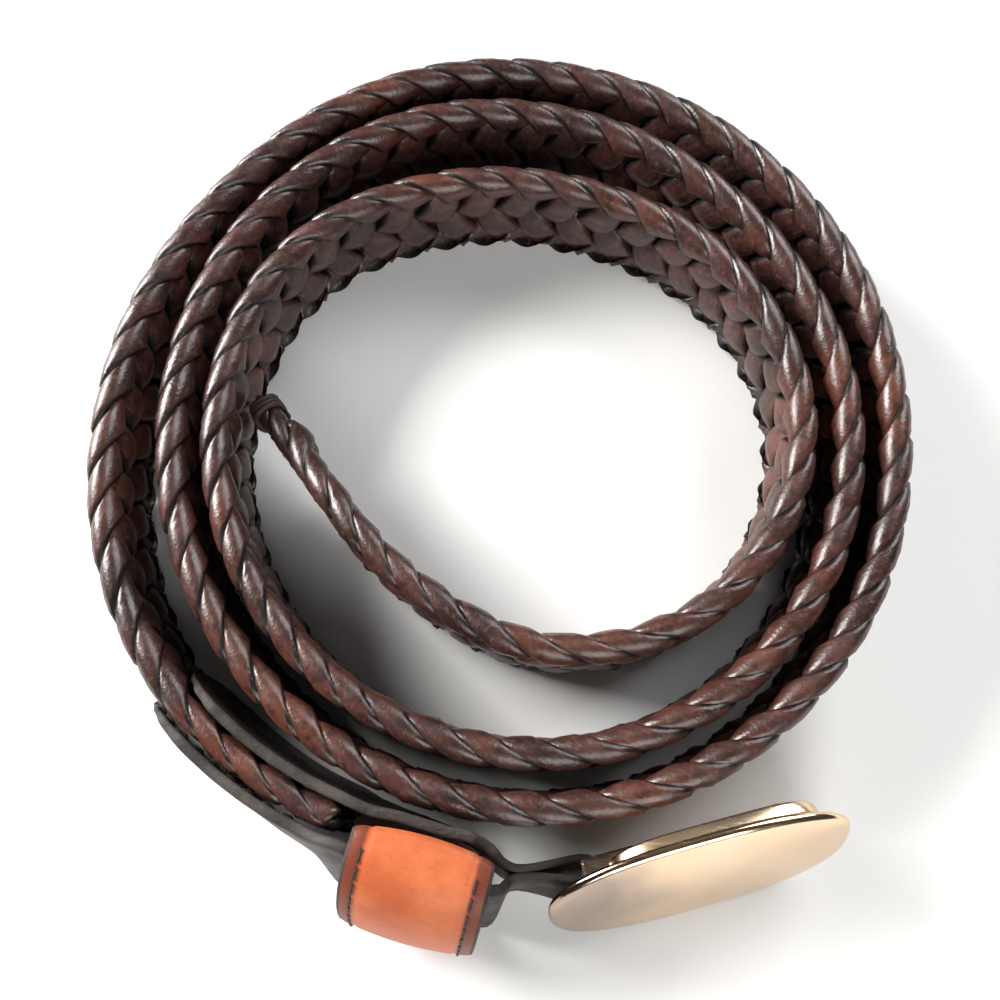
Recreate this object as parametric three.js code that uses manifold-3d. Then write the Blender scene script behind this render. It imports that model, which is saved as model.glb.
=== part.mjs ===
// A braided leather belt, rolled up and standing on its edge.
// Millimetres, +Z up, +Y away from the buckle. The origin is at the middle of the footprint.
// The flat plait is coiled from its folded leather end to its free end in the middle. The folded
// end carries a sliding leather keeper and a plaque buckle on a bar.

import * as THREE from 'three';
import { mergeVertices } from 'three/addons/utils/BufferGeometryUtils.js';
import Module from 'manifold-3d';

const wasm = await Module();
wasm.setup();

const degrees = THREE.MathUtils.degToRad;

// Driving dimensions
const fitGap = 0.3;

const band = {
  width: 22,
  thickness: 5,
  pressedThickness: 4.2,
  coilRadius: 67.5,
  turnGap: 2,
  startClock: 201,
  tipLength: 30,
};

const binding = {
  length: 3.6,
  wall: 0.7,
  grooveWall: 0.4,
  rings: 3,
};

const strap = {
  thickness: 1.65,
  tailLength: 33,
  tongueLength: 9,
  tabHeight: 10,
  tabThickness: 1.2,
  neckLength: 14.3,
  tongueLean: 6,
  tailLean: 12,
};

const keeper = {
  length: 20.5,
  wall: 1.5,
  room: 4.6,
  play: 0.9,
  air: 0.5,
  startGap: 3.4,
  lean: 20,
  roundness: 2.4,
};

const buckle = {
  length: 47,
  height: 26,
  thickness: 1.4,
  dome: 0.9,
  lean: 28,
  turn: 29,
  outline: 2.5,
  barDiameter: 1.6,
  barInset: 7,
  backLength: 33,
  backHeight: 22.5,
  backThickness: 1.5,
  backGap: 0.8,
  bossDiameter: 5,
  bossApart: 13,
  earThickness: 1.5,
  earReach: 5.5,
  prongDiameter: 3,
  prongLength: 6,
  prongAside: 12,
};

const strapRun = -14.5;

// How the coil lies: one row for each tenth of a turn, counted from the folded end. inward is how
// far the braid lies inside a tight spiral, as a share of the coil's radius.
const coilLie = [
  { turn: 0.0, inward: 0.000 },
  { turn: 0.1, inward: 0.008 },
  { turn: 0.2, inward: 0.046 },
  { turn: 0.3, inward: 0.062 },
  { turn: 0.4, inward: 0.024 },
  { turn: 0.5, inward: 0.010 },
  { turn: 0.6, inward: 0.003 },
  { turn: 0.7, inward: -0.006 },
  { turn: 0.8, inward: -0.026 },
  { turn: 0.9, inward: -0.025 },
  { turn: 1.0, inward: 0.022 },
  { turn: 1.1, inward: 0.070 },
  { turn: 1.2, inward: 0.090 },
  { turn: 1.3, inward: 0.066 },
  { turn: 1.4, inward: 0.037 },
  { turn: 1.5, inward: 0.040 },
  { turn: 1.6, inward: 0.034 },
  { turn: 1.7, inward: 0.001 },
  { turn: 1.8, inward: -0.021 },
  { turn: 1.9, inward: -0.013 },
  { turn: 2.0, inward: 0.030 },
  { turn: 2.1, inward: 0.074 },
  { turn: 2.2, inward: 0.094 },
  { turn: 2.3, inward: 0.096 },
  { turn: 2.4, inward: 0.131 },
  { turn: 2.5, inward: 0.123 },
  { turn: 2.6, inward: 0.058 },
  { turn: 2.7, inward: 0.008 },
  { turn: 2.8, inward: 0.028 },
  { turn: 2.9, inward: 0.104 },
  { turn: 3.0, inward: 0.207 },
  { turn: 3.1, inward: 0.226 },
  { turn: 3.16, inward: 0.172 },
  { turn: 3.207, inward: 0.062 },
];

// The braid's section towards its free end, over the tip's length: height and thickness as shares
// of the full band, and inward as a share of its thickness, for the tucked ends on the inner side.
const tipSections = [
  { along: 0.00, height: 1.00, thickness: 1.00, inward: 0.00 },
  { along: 0.30, height: 0.86, thickness: 1.00, inward: 0.00 },
  { along: 0.52, height: 0.64, thickness: 0.98, inward: 0.02 },
  { along: 0.66, height: 0.52, thickness: 1.22, inward: 0.14 },
  { along: 0.76, height: 0.44, thickness: 0.96, inward: 0.02 },
  { along: 0.88, height: 0.37, thickness: 0.84, inward: 0.00 },
  { along: 1.00, height: 0.30, thickness: 0.66, inward: 0.00 },
];

// The rounded tongue at each end of the strap, over the tongue's length: height as a share of the
// band's width.
const tongueSections = [
  { along: 0.00, height: 0.22 },
  { along: 0.08, height: 0.48 },
  { along: 0.25, height: 0.70 },
  { along: 0.55, height: 0.90 },
  { along: 1.00, height: 1.00 },
];

// The strap's inner leg from the braid's end to the eye round the bar. keeperShare and neckShare
// count along the keeper and the neck, out is a share of the neck's length towards the outside,
// height is a share of the way from the full width down to the tab, and lean is in degrees.
const innerLeg = [
  { keeperShare: 0.05, neckShare: 0.00, out: -0.165, narrowing: 0.0, lean: 1 },
  { keeperShare: 0.30, neckShare: 0.00, out: -0.150, narrowing: 0.0, lean: 3 },
  { keeperShare: 0.60, neckShare: 0.00, out: -0.122, narrowing: 0.0, lean: 4 },
  { keeperShare: 0.80, neckShare: 0.00, out: -0.100, narrowing: 0.0, lean: 6 },
  { keeperShare: 0.95, neckShare: 0.00, out: -0.010, narrowing: 0.3, lean: 9 },
  { keeperShare: 1.00, neckShare: 0.06, out: 0.075, narrowing: 0.8, lean: 12 },
];

// The outer leg lies straight in the keeper and a little past both its ends. Shares of the keeper.
const outerLeg = [1.05, 0.8, 0.5, 0.2, -0.05];

const pinch = { neckShare: 0.22, out: 0.16, lean: 15 };

const stepLength = 5;
const tipStep = 2.2;
const tailStep = 6;
const edgeFacets = 5;
const outlineSides = 40;

// Tables and curves

function tableValue(rows, key, column, at) {
  // A smooth curve through one column of a table.
  const last = rows.length - 1;
  const place = Math.min(Math.max(at, rows[0][key]), rows[last][key]);
  let index = rows.findIndex((row) => row[key] >= place) - 1;
  index = Math.min(Math.max(index, 0), last - 1);
  const slope = (row) => {
    const before = rows[Math.max(row - 1, 0)];
    const after = rows[Math.min(row + 1, last)];
    return (after[column] - before[column]) / (after[key] - before[key]);
  };
  const [from, to] = [rows[index], rows[index + 1]];
  const span = to[key] - from[key];
  const u = (place - from[key]) / span;
  const rest = 1 - u;
  return from[column] * (1 + 2 * u) * rest ** 2 + to[column] * (3 - 2 * u) * u ** 2
    + slope(index) * span * u * rest ** 2 - slope(index + 1) * span * u ** 2 * rest;
}

function coilPlan(turn) {
  // The braid's middle line in plan: it runs clockwise, seen from above.
  const clock = degrees(band.startClock + 360 * turn);
  const pitch = band.thickness + band.turnGap;
  const radius = band.coilRadius * (1 - tableValue(coilLie, 'turn', 'inward', turn)) - pitch * turn;
  return new THREE.Vector2(radius * Math.sin(clock), radius * Math.cos(clock));
}

function measuredCoil() {
  // Turns against length along the braid.
  const lastTurn = coilLie[coilLie.length - 1].turn;
  const samples = 2400;
  const rows = [{ length: 0, turn: 0 }];
  let previous = coilPlan(0);
  for (let sample = 1; sample <= samples; sample += 1) {
    const turn = lastTurn * sample / samples;
    const point = coilPlan(turn);
    rows.push({ length: rows[sample - 1].length + point.distanceTo(previous), turn });
    previous = point;
  }
  return rows;
}

const coilRows = measuredCoil();
const braidLength = coilRows[coilRows.length - 1].length;

function coilFrame(length) {
  // The place on the braid's middle line, with its direction and its outward side.
  let low = 0;
  let high = coilRows.length - 1;
  while (high - low > 1) {
    const middle = (low + high) >> 1;
    if (coilRows[middle].length > length) high = middle;
    else low = middle;
  }
  const [from, to] = [coilRows[low], coilRows[high]];
  const turn = from.turn + (to.turn - from.turn) * (length - from.length) / (to.length - from.length);
  const small = 0.001;
  const point = coilPlan(turn);
  const along = coilPlan(turn + small).sub(coilPlan(turn - small)).normalize();
  return { point, along, out: new THREE.Vector2(-along.y, along.x) };
}

// Solids

function closedBody(positions, faces) {
  // A body from its corners and triangles, turned so that its faces point out.
  let volume = 0;
  const corner = (index) => new THREE.Vector3(...positions.slice(3 * index, 3 * index + 3));
  for (let face = 0; face < faces.length; face += 3) {
    const [a, b, c] = [corner(faces[face]), corner(faces[face + 1]), corner(faces[face + 2])];
    volume += a.dot(b.cross(c));
  }
  const geometry = new THREE.BufferGeometry();
  geometry.setAttribute('position', new THREE.Float32BufferAttribute(positions, 3));
  geometry.setIndex(volume > 0 ? faces : faces.slice().reverse());
  geometry.computeVertexNormals();
  return geometry;
}

function loft(sections, isRing = false) {
  // Skins a row of sections that have the same number of corners.
  const sides = sections[0].length;
  const positions = sections.flat().flatMap((corner) => [corner.x, corner.y, corner.z]);
  const faces = [];
  const spans = isRing ? sections.length : sections.length - 1;
  for (let span = 0; span < spans; span += 1) {
    const here = span * sides;
    const next = ((span + 1) % sections.length) * sides;
    for (let side = 0; side < sides; side += 1) {
      const beside = (side + 1) % sides;
      faces.push(here + side, next + side, next + beside, here + side, next + beside, here + beside);
    }
  }
  if (!isRing) {
    const end = (sections.length - 1) * sides;
    for (let side = 1; side < sides - 1; side += 1) {
      faces.push(0, side, side + 1, end, end + side + 1, end + side);
    }
  }
  return closedBody(positions, faces);
}

function bandOutline(height, thickness) {
  // The braid's section as (out, up) corners: flat sides, and edges rounded in a few facets.
  const radius = thickness / 2;
  const facet = Math.PI / edgeFacets;
  const rise = height / 2 - radius * Math.cos(facet / 2);
  const corners = [];
  for (const end of [1, -1]) {
    for (let step = 0; step <= edgeFacets; step += 1) {
      const angle = step * facet;
      corners.push([end * radius * Math.cos(angle), end * (Math.max(rise, 0) + radius * Math.sin(angle))]);
    }
  }
  return corners;
}

function bandSizes(length) {
  // The braid's height, thickness and inward shift at a place along it. The strap presses it flatter.
  const along = 1 - (braidLength - length) / band.tipLength;
  const share = (column) => tableValue(tipSections, 'along', column, Math.max(along, 0));
  const free = THREE.MathUtils.smoothstep(length, strap.tailLength - strap.tongueLength, strap.tailLength);
  return {
    height: band.width * share('height'),
    thickness: THREE.MathUtils.lerp(band.pressedThickness, band.thickness, free) * share('thickness'),
    inward: band.thickness * share('inward'),
  };
}

function bandSection(length, extra = 0) {
  const { point, out } = coilFrame(length);
  const { height, thickness, inward } = bandSizes(length);
  return bandOutline(height + 2 * extra, thickness + 2 * extra).map(([aside, up]) => new THREE.Vector3(
    point.x + out.x * (aside - inward),
    point.y + out.y * (aside - inward),
    band.width / 2 + up,
  ));
}

function evenSteps(from, to, step) {
  const count = Math.ceil((to - from) / step);
  return Array.from({ length: count + 1 }, (_, index) => from + (to - from) * index / count);
}

function buildBand() {
  const tipStart = braidLength - band.tipLength;
  const lengths = [...evenSteps(0, tipStart, stepLength), ...evenSteps(tipStart, braidLength, tipStep).slice(1)];
  return loft(lengths.map((length) => bandSection(length)));
}

function buildBinding() {
  // A sleeve of wound thread round the free end: one low ridge for each turn of the thread.
  const start = braidLength - binding.length - fitGap;
  const outside = [];
  const ridgeSteps = 4;
  const steps = binding.rings * ridgeSteps;
  for (let step = 0; step <= steps; step += 1) {
    const ridge = Math.abs(Math.sin(Math.PI * step / ridgeSteps));
    const wall = THREE.MathUtils.lerp(binding.grooveWall, binding.wall, ridge);
    outside.push(bandSection(start + binding.length * step / steps, fitGap + wall));
  }
  const inside = [start + binding.length, start].map((length) => bandSection(length, fitGap));
  return loft([...outside, ...inside], true);
}

// The strap's frame: along from the braid's end to the bar, and out to the outside of the belt
const braidEnd = coilFrame(0);
const runWay = new THREE.Vector2(Math.cos(degrees(strapRun)), Math.sin(degrees(strapRun)));
const outWay = new THREE.Vector2(runWay.y, -runWay.x);
const neckStart = keeper.startGap + keeper.length;
const barAlong = neckStart + strap.neckLength;

const buckleLean = degrees(buckle.lean);
const keeperLean = degrees(keeper.lean);
const barRadius = buckle.barDiameter / 2;
const barBehind = buckle.thickness / 2 + buckle.dome + 2 * fitGap + strap.tabThickness + barRadius;
const plaqueRise = buckle.height / 2 * Math.cos(buckleLean)
  + (buckle.thickness / 2 + buckle.dome) * Math.sin(buckleLean);
const barRise = plaqueRise - barBehind * Math.sin(buckleLean);

const plaqueRun = runWay.clone().rotateAround(new THREE.Vector2(), degrees(buckle.turn));
const plaqueOut = new THREE.Vector2(plaqueRun.y, -plaqueRun.x);

function leaningUp(lean, outside = outWay) {
  // The way up along something that leans with its top towards the inside of the belt.
  const tilt = degrees(lean);
  return new THREE.Vector3(-outside.x * Math.sin(tilt), -outside.y * Math.sin(tilt), Math.cos(tilt));
}

function strapPlace(along, out, rise) {
  const plan = braidEnd.point.clone().addScaledVector(runWay, along).addScaledVector(outWay, out);
  return new THREE.Vector3(plan.x, plan.y, rise);
}

function leaningRise(lean) {
  // The height of the strap's middle line, where its lower edge stands on the ground.
  return band.width / 2 * Math.cos(degrees(lean)) + strap.thickness / 2 * Math.sin(degrees(lean));
}

const innerLegOut = innerLeg[2].out * strap.neckLength;
const keeperOuterHeight = band.width + 2 * (keeper.play + keeper.wall);
const keeperRise = keeperOuterHeight / 2 * Math.cos(keeperLean);
const keeperBackOut = innerLegOut + strap.thickness / 2 + keeper.air
  + keeperOuterHeight / 2 * Math.sin(keeperLean);
const legInKeeper = keeper.wall + fitGap + strap.thickness / 2;
const outerLegOut = keeperBackOut + legInKeeper * Math.cos(keeperLean);
const outerLegRise = keeperRise + legInKeeper * Math.sin(keeperLean);

function strapStations() {
  // The strap's middle line from its inner tongue round the bar to its outer tongue.
  const stations = [];
  const add = (place, up, height, thickness) => stations.push({ place, up, height, thickness });
  const addTab = (place, up) => add(place, up, strap.tabHeight, strap.tabThickness);
  const onBraid = (length, side, lean, height) => {
    const { point, out } = coilFrame(length);
    const offset = bandSizes(length).thickness / 2 + fitGap + strap.thickness / 2
      + band.width / 2 * Math.sin(degrees(lean));
    const plan = point.clone().addScaledVector(out, side * offset);
    add(new THREE.Vector3(plan.x, plan.y, leaningRise(lean)), leaningUp(lean, out), height, strap.thickness);
  };
  const tongue = tongueSections.map((row) => ({
    length: strap.tailLength - row.along * strap.tongueLength,
    height: row.height * band.width,
  }));
  const flatTail = evenSteps(strap.tailLength - strap.tongueLength, 0, -tailStep).slice(1);
  const narrowed = (share) => THREE.MathUtils.lerp(band.width, strap.tabHeight, share);
  const skived = (share) => THREE.MathUtils.lerp(strap.thickness, strap.tabThickness, share);

  tongue.forEach(({ length, height }) => onBraid(length, -1, 0, height));
  flatTail.forEach((length) => onBraid(length, -1, 0, band.width));
  innerLeg.forEach((row) => add(
    strapPlace(
      keeper.startGap + row.keeperShare * keeper.length + row.neckShare * strap.neckLength,
      row.out * strap.neckLength,
      leaningRise(row.lean),
    ),
    leaningUp(row.lean),
    narrowed(row.narrowing),
    skived(row.narrowing),
  ));

  const legHalf = (strap.tabThickness + fitGap) / 2;
  const pinchAlong = neckStart + pinch.neckShare * strap.neckLength;
  const pinchOut = pinch.out * strap.neckLength;
  const pinchPlace = (side) => strapPlace(pinchAlong, pinchOut + side * legHalf, leaningRise(pinch.lean));
  const eyeRadius = barRadius + fitGap + strap.tabThickness / 2;
  const barUp = leaningUp(buckle.lean, plaqueOut);
  const eyeOut = new THREE.Vector3(runWay.x, runWay.y, 0).cross(barUp).normalize();
  const eyeAlong = barUp.clone().cross(eyeOut);
  addTab(pinchPlace(-1), leaningUp(pinch.lean));
  for (const angle of [-100, -50, 0, 50, 100]) {
    addTab(
      strapPlace(barAlong, 0, barRise)
        .addScaledVector(eyeAlong, eyeRadius * Math.cos(degrees(angle)))
        .addScaledVector(eyeOut, eyeRadius * Math.sin(degrees(angle))),
      barUp,
    );
  }
  addTab(pinchPlace(1), leaningUp(pinch.lean));

  outerLeg.forEach((share) => add(
    strapPlace(keeper.startGap + share * keeper.length, outerLegOut, outerLegRise),
    leaningUp(keeper.lean),
    band.width,
    strap.thickness,
  ));
  const tailLean = (length) => THREE.MathUtils.mapLinear(length, 0, strap.tailLength, strap.tailLean, strap.tongueLean);
  evenSteps(keeper.startGap, strap.tailLength - strap.tongueLength, tailStep).slice(0, -1)
    .forEach((length) => onBraid(length, 1, tailLean(length), band.width));
  tongue.reverse().forEach(({ length, height }) => onBraid(length, 1, tailLean(length), height));
  return stations;
}

function buildStrap() {
  const stations = strapStations();
  const route = new THREE.CatmullRomCurve3(stations.map(({ place }) => place), false, 'centripetal');
  const last = stations.length - 1;
  const stepsPerStation = 3;
  const small = 0.0005;
  const sections = [];
  for (let step = 0; step <= last * stepsPerStation; step += 1) {
    const share = step / (last * stepsPerStation);
    const index = Math.min(Math.floor(step / stepsPerStation), last - 1);
    const [from, to] = [stations[index], stations[index + 1]];
    const blend = THREE.MathUtils.smoothstep(step / stepsPerStation - index, 0, 1);
    const ahead = route.getPoint(Math.min(share + small, 1)).sub(route.getPoint(Math.max(share - small, 0)));
    sections.push(strapSection(
      route.getPoint(share),
      ahead,
      from.up.clone().lerp(to.up, blend).normalize(),
      THREE.MathUtils.lerp(from.height, to.height, blend),
      THREE.MathUtils.lerp(from.thickness, to.thickness, blend),
    ));
  }
  return loft(sections);
}

function strapSection(place, ahead, up, height, thickness) {
  const across = new THREE.Vector3(ahead.y, -ahead.x, 0).normalize();
  return [[1, 1], [1, -1], [-1, -1], [-1, 1]].map(([side, end]) => place.clone()
    .addScaledVector(across, side * thickness / 2)
    .addScaledVector(up, end * height / 2));
}

function keeperOutline(inset) {
  // The loop's section: a flat back along the strap and a bowed front.
  const half = keeperOuterHeight / 2 - inset;
  const depth = keeper.room + 2 * keeper.wall + strap.thickness - 2 * inset;
  const power = 2 / keeper.roundness;
  const steps = 14;
  const points = [];
  for (let step = 0; step <= steps; step += 1) {
    const angle = Math.PI * (step / steps - 0.5);
    const [cos, sin] = [Math.cos(angle), Math.sin(angle)];
    points.push(new THREE.Vector2(inset + depth * Math.abs(cos) ** power, half * Math.sign(sin) * Math.abs(sin) ** power));
  }
  return points;
}

function buildKeeper() {
  const section = new THREE.Shape(keeperOutline(0));
  section.holes.push(new THREE.Path(keeperOutline(keeper.wall)));
  const geometry = new THREE.ExtrudeGeometry(section, { depth: keeper.length, bevelEnabled: false });
  const up = leaningUp(keeper.lean);
  const back = new THREE.Vector3(-runWay.x, -runWay.y, 0);
  const out = new THREE.Vector3().crossVectors(up, back);
  const place = strapPlace(neckStart, keeperBackOut, keeperRise);
  geometry.applyMatrix4(new THREE.Matrix4().makeBasis(out, up, back).setPosition(place));
  return geometry;
}

// The buckle, in its own frame: x along the plaque, y up along it, z out of its front

function plaqueOutline(length, height, sides = outlineSides) {
  const power = 2 / buckle.outline;
  return Array.from({ length: sides }, (_, side) => {
    const angle = 2 * Math.PI * side / sides;
    const [cos, sin] = [Math.cos(angle), Math.sin(angle)];
    return new THREE.Vector2(
      length / 2 * Math.sign(cos) * Math.abs(cos) ** power,
      height / 2 * Math.sign(sin) * Math.abs(sin) ** power,
    );
  });
}

function buildPlaque() {
  // A thin domed plate: rings of its outline, from the middle of the front to that of the back.
  const outline = plaqueOutline(buckle.length, buckle.height);
  const half = buckle.thickness / 2;
  const rings = [
    { share: 0.02, side: 1 },
    { share: 0.5, side: 1 },
    { share: 0.8, side: 1 },
    { share: 0.98, side: 0.9 },
    { share: 1, side: 0.3 },
    { share: 0.99, side: -0.8 },
    { share: 0.8, side: -1 },
    { share: 0.4, side: -1 },
    { share: 0.02, side: -1 },
  ];
  return loft(rings.map(({ share, side }) => outline.map((point) => new THREE.Vector3(
    point.x * share,
    point.y * share,
    side * half - buckle.dome * share ** 2,
  ))));
}

function solidOf(geometry) {
  const bare = geometry.clone();
  bare.deleteAttribute('normal');
  bare.deleteAttribute('uv');
  const merged = mergeVertices(bare, 1e-5);
  return new wasm.Manifold(new wasm.Mesh({
    numProp: 3,
    vertProperties: new Float32Array(merged.attributes.position.array),
    triVerts: new Uint32Array(merged.index.array),
  }));
}

function geometryOf(solid) {
  const mesh = solid.getMesh();
  const geometry = new THREE.BufferGeometry();
  geometry.setAttribute('position', new THREE.Float32BufferAttribute(mesh.vertProperties, 3));
  geometry.setIndex(Array.from(mesh.triVerts));
  geometry.computeVertexNormals();
  return geometry;
}

function buildBuckle() {
  // The plaque, its back plate, the bar between two ears and the prong are soldered into one piece.
  const plaqueBack = -buckle.thickness / 2 - buckle.dome;
  const backTop = plaqueBack - buckle.backGap + buckle.dome;
  const backBottom = backTop - buckle.backThickness;
  const barX = buckle.barInset - buckle.length / 2;
  const barZ = -barBehind;
  const backLeft = barX + barRadius + 2 * fitGap + strap.tabThickness;
  const backMiddle = backLeft + buckle.backLength / 2;

  const parts = [buildPlaque()];

  const backShape = new THREE.Shape(plaqueOutline(buckle.backLength, buckle.backHeight, 32));
  const backPlate = new THREE.ExtrudeGeometry(backShape, { depth: buckle.backThickness, bevelEnabled: false });
  backPlate.translate(backMiddle, 0, backBottom);
  parts.push(backPlate);

  for (const side of [-1, 1]) {
    const bossHeight = buckle.thickness / 2 - backBottom - fitGap;
    const boss = new THREE.CylinderGeometry(buckle.bossDiameter / 2, buckle.bossDiameter / 2, bossHeight, 16);
    boss.rotateX(Math.PI / 2);
    boss.translate(backMiddle + side * buckle.bossApart / 2, 0, backBottom + fitGap + bossHeight / 2 - buckle.dome);
    parts.push(boss);
  }

  const earInner = strap.tabHeight / 2 + 2 * fitGap;
  const earLength = backLeft - barX + barRadius + buckle.earReach;
  const earDepth = backTop - barZ + barRadius;
  for (const side of [-1, 1]) {
    const ear = new THREE.BoxGeometry(earLength, buckle.earThickness, earDepth);
    ear.translate(
      barX - barRadius + earLength / 2,
      side * (earInner + buckle.earThickness / 2),
      backTop - earDepth / 2,
    );
    parts.push(ear);
  }

  const barLength = 2 * earInner + buckle.earThickness;
  const bar = new THREE.CylinderGeometry(barRadius, barRadius, barLength, 12);
  bar.translate(barX, 0, barZ);
  parts.push(bar);

  const prongRadius = buckle.prongDiameter / 2;
  const prong = new THREE.LatheGeometry([
    new THREE.Vector2(0, 0),
    new THREE.Vector2(prongRadius, 0),
    new THREE.Vector2(prongRadius, buckle.prongLength - prongRadius),
    new THREE.Vector2(prongRadius * 0.7, buckle.prongLength - prongRadius * 0.3),
    new THREE.Vector2(0, buckle.prongLength),
  ], 16);
  prong.rotateX(-Math.PI / 2);
  prong.translate(backMiddle + buckle.prongAside, 0, backTop - fitGap);
  parts.push(prong);

  const whole = parts.map(solidOf).reduce((joined, part) => joined.add(part));
  const geometry = geometryOf(whole);
  geometry.translate(-barX, 0, -barZ);
  return geometry;
}

// The belt

function piece(name, geometry, color, roughness, metalness) {
  const mesh = new THREE.Mesh(geometry, new THREE.MeshStandardMaterial({ color, roughness, metalness }));
  mesh.name = name;
  return mesh;
}

const belt = new THREE.Group();
belt.add(piece('braided_band', buildBand(), 0x5c3a36, 0.45, 0));
belt.add(piece('tip_binding', buildBinding(), 0x241a1a, 0.6, 0));
belt.add(piece('chape', buildStrap(), 0x2e2322, 0.6, 0));
belt.add(piece('keeper', buildKeeper(), 0xc96f42, 0.45, 0));

const buckleSeat = new THREE.Group();
const plaqueAlong = new THREE.Vector3(plaqueRun.x, plaqueRun.y, 0);
const plaqueUp = leaningUp(buckle.lean, plaqueOut);
const plaqueFront = new THREE.Vector3().crossVectors(plaqueAlong, plaqueUp);
buckleSeat.quaternion.setFromRotationMatrix(new THREE.Matrix4().makeBasis(plaqueAlong, plaqueUp, plaqueFront));
buckleSeat.position.copy(strapPlace(barAlong, 0, barRise));
buckleSeat.add(piece('buckle', buildBuckle(), 0xe8cfa6, 0.25, 1));
belt.add(buckleSeat);

belt.updateMatrixWorld(true);
const extent = new THREE.Box3().setFromObject(belt, true);
belt.position.set(-(extent.min.x + extent.max.x) / 2, -(extent.min.y + extent.max.y) / 2, -extent.min.z);
belt.updateMatrixWorld(true);

export default belt;
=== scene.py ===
"""The looks of a rolled-up braided leather belt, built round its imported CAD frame.

Lengths are in millimetres in the coil's own frame, whose middle is CoilRoute.middle in the CAD
frame, and each mesh is turned into metres in the CAD frame when it is made. The flat plait, its
bound tip, the folded leather end, the sliding keeper and the plaque buckle are one class each.
"""

import logging
import math
from dataclasses import dataclass, field
from enum import Enum
from typing import Callable, Iterable, NamedTuple, Optional, Sequence

import bpy
import numpy as np
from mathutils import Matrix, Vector


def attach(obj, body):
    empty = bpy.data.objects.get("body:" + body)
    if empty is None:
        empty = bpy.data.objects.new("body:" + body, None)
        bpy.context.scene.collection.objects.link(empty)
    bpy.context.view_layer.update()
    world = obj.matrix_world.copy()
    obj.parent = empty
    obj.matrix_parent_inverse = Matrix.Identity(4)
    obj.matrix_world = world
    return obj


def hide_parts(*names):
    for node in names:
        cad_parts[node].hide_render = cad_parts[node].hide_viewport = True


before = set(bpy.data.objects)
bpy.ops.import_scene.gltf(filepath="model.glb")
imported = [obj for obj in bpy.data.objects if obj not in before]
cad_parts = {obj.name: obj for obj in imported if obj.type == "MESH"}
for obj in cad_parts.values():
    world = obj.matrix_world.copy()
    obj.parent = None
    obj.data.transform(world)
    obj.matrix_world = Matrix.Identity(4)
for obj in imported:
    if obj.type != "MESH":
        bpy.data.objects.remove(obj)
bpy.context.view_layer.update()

log = logging.getLogger("braided_belt")

MM = 0.001
SURFACE_PER_MM = 0.1
QUARTER_TURN = (30, 60, 90)
Colour = tuple[float, float, float]


class Body(Enum):
    """The CAD bodies that the pieces ride on."""

    BELT = "belt"
    BUCKLE = "buckle"


class Slot(Enum):
    """The record's material slots."""

    BRAID = "braid_leather"
    BINDING = "binding_thread"
    CHAPE = "chape_leather"
    KEEPER = "keeper_leather"
    METAL = "buckle_metal"


def unit(vector: np.ndarray) -> np.ndarray:
    """Vectors along the last axis, at length one."""
    return vector / np.maximum(np.linalg.norm(vector, axis=-1, keepdims=True), 1e-12)


def smooth_table(rows: Sequence[tuple[float, ...]], column: int, at: np.ndarray) -> np.ndarray:
    """A smooth curve through one column of a table.

    Args:
        rows: The table, whose first column is the place along.
        column: The column to read.
        at: Places to read it at; those past an end take the end's value.

    Returns:
        The values there.
    """
    keys = np.array([row[0] for row in rows])
    values = np.array([row[column] for row in rows])
    before = np.maximum(np.arange(len(rows)) - 1, 0)
    after = np.minimum(np.arange(len(rows)) + 1, len(rows) - 1)
    slopes = (values[after] - values[before]) / (keys[after] - keys[before])
    place = np.clip(np.asarray(at, float), keys[0], keys[-1])
    index = np.clip(np.searchsorted(keys, place, side="right") - 1, 0, len(rows) - 2)
    span = keys[index + 1] - keys[index]
    share = (place - keys[index]) / span
    rest = 1 - share
    return (
        values[index] * (1 + 2 * share) * rest**2
        + values[index + 1] * (3 - 2 * share) * share**2
        + slopes[index] * span * share * rest**2
        - slopes[index + 1] * span * share**2 * rest
    )


def smoothstep(value: np.ndarray, low: float, high: float) -> np.ndarray:
    """The usual soft step from 0 at low to 1 at high."""
    share = np.clip((np.asarray(value, float) - low) / (high - low), 0, 1)
    return share * share * (3 - 2 * share)


def wander(
    lengths: np.ndarray, index: int, waves: Sequence[tuple[float, float, float]]
) -> np.ndarray:
    """A slow unevenness along a strand.

    Args:
        lengths: Where it is wanted.
        index: Which strand, as each has its own.
        waves: Each wave's size, its millimetres for a radian, and its turn from strand to strand.

    Returns:
        The unevenness there.
    """
    return sum(size * np.sin(lengths / stretch + turn * index) for size, stretch, turn in waves)


def length_at(points: np.ndarray) -> np.ndarray:
    """The length along a line at each of its points."""
    return np.concatenate([[0.0], np.cumsum(np.linalg.norm(np.diff(points, axis=0), axis=1))])


def read_along(points: np.ndarray, run: np.ndarray, lengths: np.ndarray) -> np.ndarray:
    """Points of a line, or its vectors, read at lengths along it.

    Args:
        points: The line's points or vectors, one row each.
        run: The length at each of them.
        lengths: Where to read.

    Returns:
        One row for each length.
    """
    return np.stack([np.interp(lengths, run, points[:, axis]) for axis in range(3)], axis=-1)


def superellipse(angle: np.ndarray, power: float) -> tuple[np.ndarray, np.ndarray]:
    """A superellipse of half sizes 1.

    Args:
        angle: The places round it, in radians.
        power: Its squareness, where 2 is a circle.

    Returns:
        How far each place is across and up.
    """
    across = np.sign(np.cos(angle)) * np.abs(np.cos(angle)) ** (2 / power)
    up = np.sign(np.sin(angle)) * np.abs(np.sin(angle)) ** (2 / power)
    return across, up


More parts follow.
